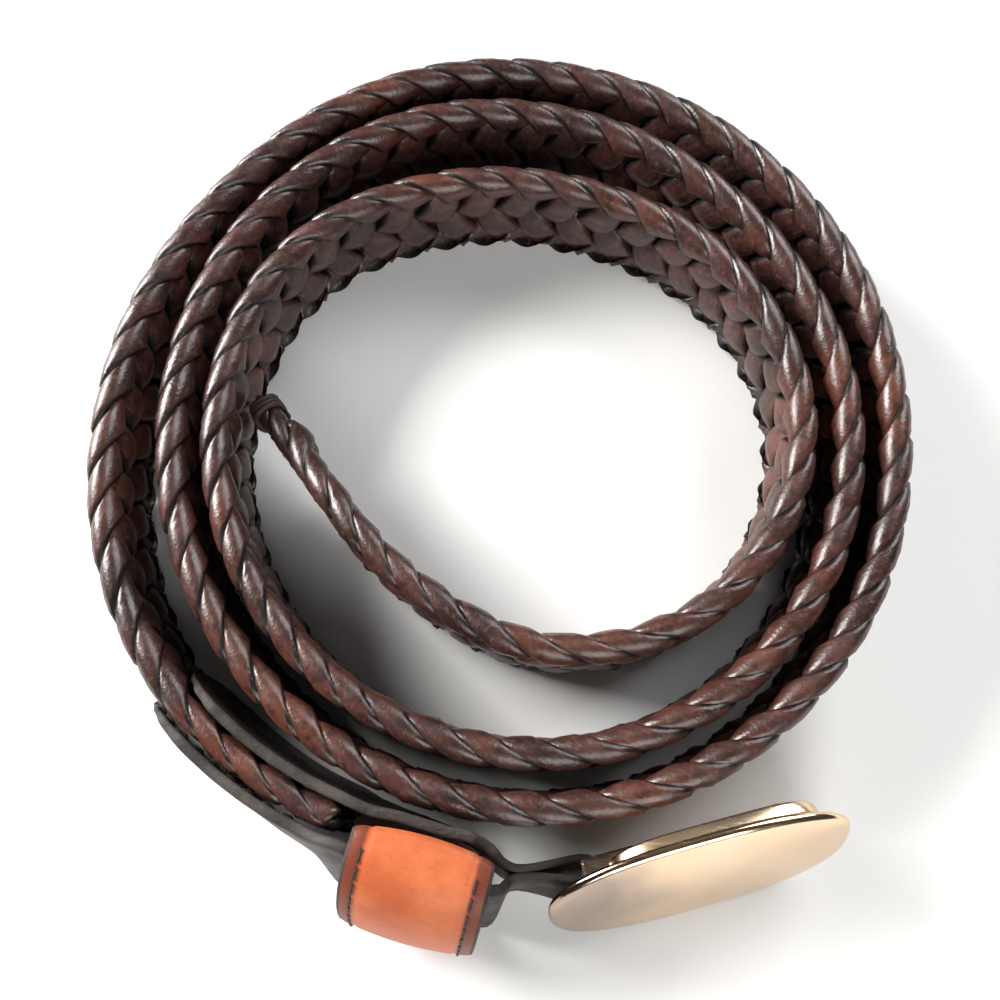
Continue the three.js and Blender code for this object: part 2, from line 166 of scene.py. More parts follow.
def flowing_line(points: np.ndarray, steps: int) -> np.ndarray:
    """A centripetal Catmull-Rom line through points.

    Args:
        points: The points, one row each.
        steps: How many spans each stretch between two points gets.

    Returns:
        The line's points, with the given ones among them.
    """
    padded = np.vstack([2 * points[0] - points[1], points, 2 * points[-1] - points[-2]])
    line = []
    for index in range(len(points) - 1):
        p0, p1, p2, p3 = padded[index:index + 4]
        d0, d1, d2 = (max(np.linalg.norm(b - a) ** 0.5, 1e-4) for a, b in ((p0, p1), (p1, p2), (p2, p3)))
        t1 = ((p1 - p0) / d0 - (p2 - p0) / (d0 + d1) + (p2 - p1) / d1) * d1
        t2 = ((p2 - p1) / d1 - (p3 - p1) / (d1 + d2) + (p3 - p2) / d2) * d1
        for step in range(steps):
            t = step / steps
            line.append(
                p1 + t1 * t + (3 * (p2 - p1) - 2 * t1 - t2) * t**2 + (2 * (p1 - p2) + t1 + t2) * t**3
            )
    return np.array([*line, points[-1]])


def rounded_outline(width: float, height: float, radius: float, corner_steps: int) -> np.ndarray:
    """A rectangle with rounded corners, as (across, up) points in order.

    Args:
        width: Its size across.
        height: Its size up.
        radius: The corners' radius.
        corner_steps: Spans of each corner.

    Returns:
        The points, anticlockwise from the right side's lower end.
    """
    radius = min(radius, width / 2, height / 2)
    points = []
    for corner, (side, end) in enumerate(((1, -1), (1, 1), (-1, 1), (-1, -1))):
        for step in range(corner_steps + 1):
            angle = math.pi / 2 * (corner - 1 + step / corner_steps)
            points.append((
                side * (width / 2 - radius) + radius * math.cos(angle),
                end * (height / 2 - radius) + radius * math.sin(angle),
            ))
    return np.array(points)


@dataclass(frozen=True)
class Stitch:
    """How a row of stitches is sewn; the dips say how proud a stitch is, from end to end."""

    length: float
    pitch: float
    radius: float
    start: float
    dips: tuple[float, ...]
    end_margin: float = 0.0
    sides: int = 6


class PieceMaker:
    """Gathers the skins of one piece and makes its mesh."""

    nearly_upright: float = 0.9
    blunt_end: float = 0.45

    def __init__(self) -> None:
        """Starts with no corners."""
        self.corners: list[np.ndarray] = []
        self.faces: list[np.ndarray] = []
        self.places: list[np.ndarray] = []
        self.slots: list[np.ndarray] = []
        self.count = 0

    def skin(
        self,
        rings: np.ndarray,
        along: Optional[np.ndarray] = None,
        slot: int = 0,
        capped: bool = True,
        side_slots: Optional[Sequence[int]] = None,
    ) -> None:
        """Adds a skin over rings of corners.

        Args:
            rings: Corners in millimetres, as (rings, corners of a ring, 3).
            along: The length at each ring, for the surface's second coordinate.
            slot: The material's index.
            capped: Whether the first and last ring are closed.
            side_slots: The material's index for each side of a ring, in place of slot.
        """
        rows, sides = rings.shape[:2]
        if along is None:
            along = length_at(rings.mean(axis=1))
        spans = rows - 1
        row = np.arange(spans)[:, None] * sides
        side = np.arange(sides)[None, :]
        beside = (side + 1) % sides
        after = row + sides
        quads = np.stack([row + side, row + beside, after + beside, after + side], axis=-1).reshape(-1, 4)
        here = np.broadcast_to(along[:-1, None], (spans, sides))
        ahead = np.broadcast_to(along[1:, None], (spans, sides))
        left = np.broadcast_to(side / sides, (spans, sides))
        right = np.broadcast_to((side + 1) / sides, (spans, sides))
        pairs = ((left, here), (right, here), (right, ahead), (left, ahead))
        places = np.stack([np.stack(pair, -1) for pair in pairs], axis=2).reshape(-1, 4, 2)
        self.corners.append(rings.reshape(-1, 3))
        self.faces.extend(quads + self.count)
        self.places.extend(places)
        wanted = np.full(sides, slot) if side_slots is None else np.array(side_slots)
        self.slots.extend(np.tile(wanted, spans))
        if capped:
            for start, order in ((0, -1), (spans * sides, 1)):
                cap = start + np.arange(sides)[::order]
                self.faces.append(cap + self.count)
                self.places.append(np.tile([0.0, along[0]], (sides, 1)))
                self.slots.append(slot)
        self.count += rows * sides

    def tube(self, path: np.ndarray, radius: float, sides: int, slot: int = 0) -> None:
        """Adds a round rod or thread along a path, with blunt ends.

        Args:
            path: Its middle line, one point a row.
            radius: Its radius.
            sides: Corners round it.
            slot: The material's index.
        """
        ahead = unit(np.gradient(path, axis=0))
        level = abs(ahead[0][2]) < self.nearly_upright
        hint = np.array([0.0, 0.0, 1.0]) if level else np.array([1.0, 0.0, 0.0])
        across = unit(np.cross(ahead, hint))
        up = np.cross(across, ahead)
        radii = np.full(len(path), radius)
        radii[[0, -1]] *= self.blunt_end
        angles = 2 * np.pi * np.arange(sides) / sides
        rings = path[:, None] + radii[:, None, None] * (
            across[:, None] * np.cos(angles)[:, None] + up[:, None] * np.sin(angles)[:, None]
        )
        self.skin(rings, slot=slot)

    def sew(self, seam: np.ndarray, outward: np.ndarray, stitch: Stitch, slot: int) -> None:
        """Adds a row of stitches along a seam.

        Args:
            seam: The seam's points on the leather's surface.
            outward: The way out of the leather at each.
            stitch: How they are sewn.
            slot: The thread's index.
        """
        run = length_at(seam)
        dips = np.array(stitch.dips)[:, None]
        start = stitch.start
        while start + stitch.length < run[-1] - stitch.end_margin:
            lengths = start + stitch.length * np.linspace(0, 1, len(dips))
            path = read_along(seam, run, lengths) + read_along(outward, run, lengths) * dips
            self.tube(path, stitch.radius, stitch.sides, slot)
            start += stitch.pitch

    def make(
        self,
        name: str,
        middle: np.ndarray,
        materials: Iterable[bpy.types.Material],
        sharp_angle: Optional[float] = None,
    ) -> bpy.types.Object:
        """Makes the piece, with nothing of it under the ground.

        Args:
            name: The piece's name.
            middle: The coil's middle in the CAD frame.
            materials: Its materials, in the order of the slots.
            sharp_angle: The angle in degrees over which an edge stays sharp; none if left out.

        Returns:
            The object, with its place in its mesh.
        """
        mesh = bpy.data.meshes.new(name)
        corners = (np.vstack(self.corners) + middle) * MM
        corners[:, 2] = np.maximum(corners[:, 2], 0.0)
        mesh.from_pydata(corners.tolist(), [], [list(map(int, face)) for face in self.faces])
        layer = mesh.uv_layers.new(name="surface")
        flat = np.concatenate([np.asarray(place, float) for place in self.places])
        flat[:, 1] *= SURFACE_PER_MM
        layer.data.foreach_set("uv", flat.astype(np.float32).ravel())
        mesh.polygons.foreach_set("material_index", np.array(self.slots, np.int32))
        mesh.shade_smooth()
        if sharp_angle is not None:
            mesh.set_sharp_from_angle(angle=math.radians(sharp_angle))
        mesh.validate()
        piece = bpy.data.objects.new(name, mesh)
        for material in materials:
            mesh.materials.append(material)
        bpy.context.scene.collection.objects.link(piece)
        return piece


class NodeBench:
    """Lays out the nodes of one material."""

    def __init__(self, name: str) -> None:
        """Starts a material with a bare shader.

        Args:
            name: The material's name.
        """
        self.material = bpy.data.materials.new(name)
        self.material.use_nodes = True
        self.tree = self.material.node_tree
        self.shader = self.tree.nodes["Principled BSDF"]

    def node(self, kind: str, **inputs: object) -> bpy.types.Node:
        """A new node.

        Args:
            kind: Blender's name of its kind.
            inputs: Values for its inputs, by their names.

        Returns:
            The node.
        """
        made = self.tree.nodes.new(kind)
        for name, value in inputs.items():
            made.inputs[name.replace("_", " ")].default_value = value
        return made

    def link(self, source: bpy.types.NodeSocket, target: bpy.types.NodeSocket) -> None:
        """Joins two sockets."""
        self.tree.links.new(source, target)

    def place(self, kind: str, stretch: Sequence[float] = (1, 1, 1)) -> bpy.types.NodeSocket:
        """A surface place, stretched.

        Args:
            kind: Object for the piece's own space in metres, or UV for the share of a way round the
                piece and the length along it in centimetres.
            stretch: The factor along each axis.

        Returns:
            The vector socket.
        """
        source = self.node("ShaderNodeTexCoord")
        mapping = self.node("ShaderNodeMapping")
        mapping.inputs["Scale"].default_value = stretch
        self.link(source.outputs[kind], mapping.inputs["Vector"])
        return mapping.outputs["Vector"]

    def noise(self, place: bpy.types.NodeSocket, scale: float, detail: float = 3) -> bpy.types.NodeSocket:
        """Soft noise.

        Args:
            place: Where it is read.
            scale: How fine it is.
            detail: How many finer layers it has.

        Returns:
            The socket, from 0 to 1.
        """
        made = self.node("ShaderNodeTexNoise", Scale=scale, Detail=detail)
        self.link(place, made.inputs["Vector"])
        return made.outputs["Fac"]

    def cells(self, place: bpy.types.NodeSocket, scale: float) -> bpy.types.NodeSocket:
        """The distance to the nearest cell's middle, for pores and pebbles.

        Args:
            place: Where it is read.
            scale: How fine the cells are.

        Returns:
            The socket.
        """
        made = self.node("ShaderNodeTexVoronoi", Scale=scale)
        self.link(place, made.inputs["Vector"])
        return made.outputs["Distance"]

    def range(
        self, value: bpy.types.NodeSocket, low: float, high: float, to_low: float = 0, to_high: float = 1
    ) -> bpy.types.NodeSocket:
        """A value moved from one range to another, and kept inside it.

        Args:
            value: The value.
            low: The start of its range.
            high: The end of its range.
            to_low: What the start becomes.
            to_high: What the end becomes.

        Returns:
            The socket.
        """
        made = self.node("ShaderNodeMapRange")
        self.link(value, made.inputs["Value"])
        made.inputs["From Min"].default_value = low
        made.inputs["From Max"].default_value = high
        made.inputs["To Min"].default_value = to_low
        made.inputs["To Max"].default_value = to_high
        return made.outputs["Result"]

    def worn(
        self, wear: bpy.types.NodeSocket, roughness: float, less: float, more: float
    ) -> bpy.types.NodeSocket:
        """An uneven roughness.

        Args:
            wear: Noise that says where it is worn.
            roughness: The roughness between the two.
            less: How much smoother it gets.
            more: How much rougher it gets.

        Returns:
            The socket.
        """
        return self.range(wear, 0.3, 0.7, roughness - less, roughness + more)

    def sum(
        self, kind: str, first: bpy.types.NodeSocket, second: bpy.types.NodeSocket | float
    ) -> bpy.types.NodeSocket:
        """One sum of two values.

        Args:
            kind: Blender's name of the sum, such as ADD or MULTIPLY.
            first: The first value.
            second: The second value.

        Returns:
            The socket.
        """
        made = self.node("ShaderNodeMath")
        made.operation = kind
        self.link(first, made.inputs[0])
        if isinstance(second, (int, float)):
            made.inputs[1].default_value = second
        else:
            self.link(second, made.inputs[1])
        return made.outputs["Value"]

    def part(self, place: bpy.types.NodeSocket, axis: str) -> bpy.types.NodeSocket:
        """One axis of a vector.

        Args:
            place: The vector.
            axis: X, Y or Z.

        Returns:
            The socket.
        """
        made = self.node("ShaderNodeSeparateXYZ")
        self.link(place, made.inputs["Vector"])
        return made.outputs[axis]

    def blend(
        self,
        share: bpy.types.NodeSocket,
        first: Colour | bpy.types.NodeSocket,
        second: Colour | bpy.types.NodeSocket,
    ) -> bpy.types.NodeSocket:
        """A colour between two.

        Args:
            share: How much of the second shows, from 0 to 1.
            first: The first colour.
            second: The second colour.

        Returns:
            The socket.
        """
        made = self.node("ShaderNodeMix")
        made.data_type = "RGBA"
        self.link(share, made.inputs["Factor"])
        for name, colour in (("A", first), ("B", second)):
            socket = [s for s in made.inputs if s.name == name and s.type == "RGBA"][0]
            if isinstance(colour, tuple):
                socket.default_value = (*colour, 1)
            else:
                self.link(colour, socket)
        return [s for s in made.outputs if s.type == "RGBA"][0]

    def bump(
        self,
        height: bpy.types.NodeSocket,
        depth: float,
        strength: float = 1,
        under: Optional[bpy.types.NodeSocket] = None,
    ) -> bpy.types.NodeSocket:
        """Relief from a height.

        Args:
            height: The height, from 0 to 1.
            depth: What a height of 1 stands for, in metres.
            strength: How much of it shows.
            under: Relief that this one lies on.

        Returns:
            The normal socket.
        """
        made = self.node("ShaderNodeBump", Distance=depth, Strength=strength)
        self.link(height, made.inputs["Height"])
        if under is not None:
            self.link(under, made.inputs["Normal"])
        return made.outputs["Normal"]

    def finish(
        self,
        colour: bpy.types.NodeSocket,
        roughness: bpy.types.NodeSocket,
        normal: bpy.types.NodeSocket,
        **constants: float,
    ) -> bpy.types.Material:
        """Joins the shader up.

        Args:
            colour: Its base colour.
            roughness: Its roughness.
            normal: Its relief.
            constants: Values set on the shader's own sockets.

        Returns:
            The material.
        """
        self.link(colour, self.shader.inputs["Base Color"])
        self.link(roughness, self.shader.inputs["Roughness"])
        self.link(normal, self.shader.inputs["Normal"])
        for name, value in constants.items():
            self.shader.inputs[name.replace("_", " ")].default_value = value
        return self.material


@dataclass(frozen=True)
class PlaitLeather:
    """The waxed reddish leather of the plait's strands, with a near-black cut side that is partly its own
    dark colour and partly painted shade in the seams between wraps.
    """

    name: str
    face: Colour = (0.047, 0.018, 0.015)
    deep: Colour = (0.014, 0.007, 0.0065)
    warm: Colour = (0.125, 0.036, 0.018)
    bloom: Colour = (0.120, 0.054, 0.045)
    # The cut side: partly its own dark colour, partly painted shade in the seams between wraps.
    side: Colour = (0.004, 0.003, 0.003)
    roughness: float = 0.36
    side_from: float = 0.75
    side_fade: float = 0.07
    tint_scale: float = 38
    blotch_scale: float = 95
    wear_scale: float = 240
    mottle_scale: float = 620
    bloom_scale: float = 1050
    grain_scale: float = 2100
    grain_depth: float = 0.00006
    crease_depth: float = 0.0003

    def material(self) -> bpy.types.Material:
        """The strands' material: blotchy dye, a waxy bloom, lengthwise creases and near-black sides, partly
        their own dark colour and partly painted shade in the seams between wraps.

        Returns:
            The material.
        """
        bench = NodeBench(self.name)
        own = bench.place("Object")
        surface = bench.place("UV")
        blotches = bench.noise(own, self.blotch_scale, 3)
        tint = bench.noise(own, self.tint_scale, 2)
        fibres = bench.noise(bench.place("UV", (14, 1.1, 1)), 3.2, 5)
        mottle = bench.noise(own, self.mottle_scale, 4)
        bloom = bench.noise(own, self.bloom_scale, 3)
        colour = bench.blend(bench.range(blotches, 0.38, 0.66), self.deep, self.face)
        colour = bench.blend(bench.range(tint, 0.52, 0.72, 0, 0.45), colour, self.warm)
        colour = bench.blend(bench.range(fibres, 0.45, 0.75, 0, 0.35), colour, self.warm)
        colour = bench.blend(bench.range(bloom, 0.54, 0.7, 0, 0.45), colour, self.bloom)
        colour = bench.blend(bench.range(mottle, 0.5, 0.68, 0, 0.75), colour, self.deep)
        round_it = bench.part(surface, "X")
        from_middle = bench.sum("ABSOLUTE", bench.sum("SUBTRACT", round_it, 0.5), 0)
        to_side = bench.sum("MULTIPLY", from_middle, 2)
        ragged = bench.sum("ADD", to_side, bench.range(mottle, 0, 1, -0.05, 0.05))
        # The cut sides turn near-black: partly their own colour, partly painted shade in the seams between
        # wraps.
        side_and_seam_shade = bench.range(ragged, self.side_from, self.side_from + self.side_fade)
        colour = bench.blend(side_and_seam_shade, colour, self.side)
        worn = bench.worn(bench.noise(own, self.wear_scale, 4), self.roughness, 0.07, 0.12)
        grain = bench.bump(bench.cells(own, self.grain_scale), self.grain_depth, 0.5)
        folds = bench.noise(bench.place("UV", (9, 1.8, 1)), 3.0, 4)
        creases = bench.bump(folds, self.crease_depth, 0.26, grain)
        return bench.finish(
            colour, worn, creases, Specular_IOR_Level=0.45, Coat_Weight=0.15, Coat_Roughness=0.2
        )


@dataclass(frozen=True)
class StrapLeather:
    """Smooth strap leather, for its faces or for its cut edges."""

    name: str
    face: Colour
    deep: Colour
    roughness: float
    cloud_scale: float = 160
    wear_scale: float = 300
    pebble_scale: float = 420
    speck_scale: float = 1300
    grain_scale: float = 1500
    grain_depth: float = 0.00010
    pebble_depth: float = 0.00022
    layer_scale: float = 0.0
    layer_depth: float = 0.0002
    specular: float = 0.3
    coat: float = 0.04

    def material(self) -> bpy.types.Material:
        """The strap's material: pebbled grain, cloudy dye and, on a cut edge, the lines of its layers.

        Returns:
            The material.
        """
        bench = NodeBench(self.name)
        own = bench.place("Object")
        clouds = bench.noise(own, self.cloud_scale, 4)
        specks = bench.noise(own, self.speck_scale, 3)
        colour = bench.blend(bench.range(clouds, 0.35, 0.68), self.deep, self.face)
        colour = bench.blend(bench.range(specks, 0.55, 0.75, 0, 0.45), colour, self.deep)
        relief = bench.bump(bench.cells(own, self.grain_scale), self.grain_depth, 0.6)
        relief = bench.bump(bench.noise(own, self.pebble_scale, 4), self.pebble_depth, 0.5, relief)
        if self.layer_scale:
            layers = bench.noise(bench.place("UV", (self.layer_scale, 1.2, 1)), 6, 3)
            colour = bench.blend(bench.range(layers, 0.5, 0.72, 0, 0.55), colour, self.deep)
            relief = bench.bump(layers, self.layer_depth, 0.7, relief)
        worn = bench.worn(bench.noise(own, self.wear_scale, 3), self.roughness, 0.08, 0.1)
        return bench.finish(
            colour,
            worn,
            relief,
            Specular_IOR_Level=self.specular,
            Coat_Weight=self.coat,
            Coat_Roughness=0.25,
        )


@dataclass(frozen=True)
class KeeperLeather:
    """Orange tan leather that turns redder in a pressed border at both ends of the loop."""

    name: str
    length: float
    face: Colour = (0.37, 0.084, 0.028)
    pale: Colour = (0.50, 0.140, 0.056)
    border: Colour = (0.105, 0.024, 0.014)
    border_width: float = 2.4
    border_fade: float = 0.3
    roughness: float = 0.48
    cloud_scale: float = 105
    crease_scale: float = 500
    ragged_scale: float = 700
    pore_scale: float = 2300
    crease_depth: float = 0.00015
    pore_depth: float = 0.00005

    def material(self) -> bpy.types.Material:
        """The loop's material, whose surface place along the loop is stretched back to millimetres.

        Returns:
            The material.
        """
        bench = NodeBench(self.name)
        own = bench.place("Object")
        surface = bench.place("UV", (1, 10, 1))
        clouds = bench.noise(own, self.cloud_scale, 5)
        streaks = bench.noise(bench.place("UV", (30, 1.5, 1)), 3, 5)
        colour = bench.blend(bench.range(clouds, 0.38, 0.66), self.face, self.pale)
        colour = bench.blend(bench.range(streaks, 0.55, 0.8, 0, 0.3), colour, self.border)
        along = bench.part(surface, "Y")
        from_end = bench.sum("MINIMUM", along, bench.range(along, 0, self.length, self.length, 0))
        unevenness = bench.range(bench.noise(own, self.ragged_scale, 3), 0, 1, -0.2, 0.2)
        ragged = bench.sum("ADD", from_end, unevenness)
        inner, outer = self.border_width - self.border_fade, self.border_width + self.border_fade
        edge = bench.range(ragged, inner, outer, 1, 0)
        colour = bench.blend(bench.sum("MULTIPLY", edge, 0.9), colour, self.border)
        pores = bench.bump(bench.cells(own, self.pore_scale), self.pore_depth, 0.5)
        relief = bench.bump(bench.noise(own, self.crease_scale, 4), self.crease_depth, 0.45, pores)
        worn = bench.worn(clouds, self.roughness, 0.06, 0.1)
        return bench.finish(
            colour, worn, relief, Specular_IOR_Level=0.2, Coat_Weight=0.03, Coat_Roughness=0.3
        )


@dataclass(frozen=True)
class WaxedThread:
    """Dark waxed thread with the twist of its plies."""

    name: str
    face: Colour = (0.012, 0.007, 0.006)
    light: Colour = (0.040, 0.023, 0.018)
    roughness: float = 0.5
    fibre_scale: float = 2500
    ply_depth: float = 0.00006
    fibre_depth: float = 0.00005

    def material(self) -> bpy.types.Material:
        """The thread's material: slanting plies and loose fibres.

        Returns:
            The material.
        """
        bench = NodeBench(self.name)
        surface = bench.place("UV", (2, 12, 1))
        plies = bench.node("ShaderNodeTexWave", Scale=1.2, Distortion=0.6)
        plies.bands_direction = "DIAGONAL"
        bench.link(surface, plies.inputs["Vector"])
        fibres = bench.noise(bench.place("Object"), self.fibre_scale, 3)
        colour = bench.blend(plies.outputs["Fac"], self.face, self.light)
        relief = bench.bump(plies.outputs["Fac"], self.ply_depth, 0.6)
        relief = bench.bump(fibres, self.fibre_depth, 0.5, relief)
        worn = bench.worn(fibres, self.roughness, 0.1, 0.15)
        return bench.finish(colour, worn, relief, Specular_IOR_Level=0.3)


@dataclass(frozen=True)
class GoldPlate:
    """Pale gold plate, polished, with faint wear and a grey painted reflection towards its low-x end."""

    name: str
    face: Colour = (0.84, 0.63, 0.43)
    warm: Colour = (0.77, 0.55, 0.35)
    # Grey painted reflection: the colour the base colour greys to as x, in metres, falls from the first
    # place to the second.
    painted_reflection: Colour = (0.30, 0.225, 0.185)
    painted_reflection_from: float = 0.026
    painted_reflection_to: float = 0.011
    roughness: float = 0.16
    wave_scale: float = 55
    cloud_scale: float = 70
    wave_depth: float = 0.0006
    hair_depth: float = 0.00001

    def material(self) -> bpy.types.Material:
        """The plate's material: cloudy polish, hairline scratches and a grey painted reflection towards low
        x.

        Returns:
            The material.
        """
        bench = NodeBench(self.name)
        own = bench.place("Object")
        clouds = bench.noise(own, self.cloud_scale, 4)
        hairs = bench.noise(bench.place("Object", (60, 900, 60)), 4, 3)
        colour = bench.blend(bench.range(clouds, 0.4, 0.7), self.face, self.warm)
        colour = bench.blend(bench.range(hairs, 0.62, 0.75, 0, 0.25), colour, self.warm)
        # Painted reflection: grey blended into the base colour towards low x, with a cloudy edge.
        uneven = bench.sum("ADD", bench.part(own, "X"), bench.range(clouds, 0.3, 0.7, -0.006, 0.006))
        painted_reflection = bench.range(uneven, self.painted_reflection_from, self.painted_reflection_to, 0, 0.9)
        colour = bench.blend(painted_reflection, colour, self.painted_reflection)
        polished = bench.worn(clouds, self.roughness, 0.04, 0.06)
        worn = bench.sum("ADD", polished, bench.range(hairs, 0.55, 0.75, 0, 0.08))
        relief = bench.bump(hairs, self.hair_depth, 0.4)
        relief = bench.bump(bench.noise(own, self.wave_scale, 2), self.wave_depth, 0.25, relief)
        return bench.finish(colour, worn, relief, Metallic=1.0, Specular_IOR_Level=0.5)


@dataclass(frozen=True)
class StudioSurface:
    """The pale studio floor."""

    name: str
    face: Colour = (0.74, 0.74, 0.735)
    shade: float = 0.985
    grain_scale: float = 90
    grain_depth: float = 0.00002

    def material(self) -> bpy.types.Material:
        """The floor's material: pale and matte, with the faintest grain.

        Returns:
            The material.
        """
        bench = NodeBench(self.name)
        grain = bench.noise(bench.place("Object"), self.grain_scale, 2)
        colour = bench.blend(grain, self.face, tuple(value * self.shade for value in self.face))
        worn = bench.range(grain, 0.3, 0.7, 0.6, 0.7)
        relief = bench.bump(grain, self.grain_depth, 0.2)
        return bench.finish(colour, worn, relief, Specular_IOR_Level=0.3)


@dataclass
class CoilRoute:
    """The plait's middle line: it runs clockwise, seen from above, from the folded end inwards."""

    middle: np.ndarray = field(default_factory=lambda: np.array([0.228, 8.591, 0.001]))
    band_width: float = 22.0
    band_thickness: float = 5.0
    pressed_thickness: float = 4.2
    coil_radius: float = 67.5
    turn_gap: float = 2.0
    start_clock: float = 201.0
    tip_length: float = 30.0
    pressed_from: float = 24.0
    pressed_to: float = 33.0
    plan_steps: int = 6000
    small_turn: float = 0.001
    lie: tuple[tuple[float, float], ...] = (
        (0.0, 0.000), (0.1, 0.008), (0.2, 0.046), (0.3, 0.062), (0.4, 0.024), (0.5, 0.010),
        (0.6, 0.003), (0.7, -0.006), (0.8, -0.026), (0.9, -0.025), (1.0, 0.022), (1.1, 0.070),
        (1.2, 0.090), (1.3, 0.066), (1.4, 0.037), (1.5, 0.040), (1.6, 0.034), (1.7, 0.001),
        (1.8, -0.021), (1.9, -0.013), (2.0, 0.030), (2.1, 0.074), (2.2, 0.094), (2.3, 0.096),
        (2.4, 0.131), (2.5, 0.123), (2.6, 0.058), (2.7, 0.008), (2.8, 0.028), (2.9, 0.104),
        (3.0, 0.207), (3.1, 0.226), (3.16, 0.172), (3.207, 0.062),
    )
    tip_sections: tuple[tuple[float, float, float, float], ...] = (
        (0.00, 1.00, 1.00, 0.00), (0.30, 0.86, 1.00, 0.00), (0.52, 0.64, 0.98, 0.02),
        (0.66, 0.52, 1.22, 0.14), (0.76, 0.44, 0.96, 0.02), (0.88, 0.37, 0.84, 0.00),
        (1.00, 0.30, 0.66, 0.00),
    )

    def __post_init__(self) -> None:
        """Measures the line once."""
        self.turns = np.linspace(0, self.lie[-1][0], self.plan_steps + 1)
        self.lengths = length_at(self.plan(self.turns))
        self.length = float(self.lengths[-1])

    def plan(self, turns: np.ndarray) -> np.ndarray:
        """The line's points in plan.

        Args:
            turns: Turns of the coil since the line's start.

        Returns:
            One point for each.
        """
        clock = np.radians(self.start_clock + 360 * turns)
        pitch = self.band_thickness + self.turn_gap
        radius = self.coil_radius * (1 - smooth_table(self.lie, 1, turns)) - pitch * turns
        return np.stack([radius * np.sin(clock), radius * np.cos(clock)], axis=-1)

    def frames(self, lengths: np.ndarray) -> tuple[np.ndarray, np.ndarray]:
        """The line's places.

        Args:
            lengths: Lengths along it.

        Returns:
            The points and the outward sides, in plan.
        """
        turns = np.interp(lengths, self.lengths, self.turns)
        along = unit(self.plan(turns + self.small_turn) - self.plan(turns - self.small_turn))
        return self.plan(turns), np.stack([-along[:, 1], along[:, 0]], axis=-1)

    def sizes(self, lengths: np.ndarray) -> tuple[np.ndarray, np.ndarray, np.ndarray]:
        """The plait's sizes.

        Args:
            lengths: Lengths along it.

        Returns:
            Its height, its thickness and how far it is shifted inwards.
        """
        along = np.maximum(1 - (self.length - lengths) / self.tip_length, 0)
        columns = (1, 2, 3)
        height, thickness, inward = (smooth_table(self.tip_sections, column, along) for column in columns)
        free = smoothstep(lengths, self.pressed_from, self.pressed_to)
        pressed = self.pressed_thickness + (self.band_thickness - self.pressed_thickness) * free
        return height * self.band_width, thickness * pressed, inward * self.band_thickness


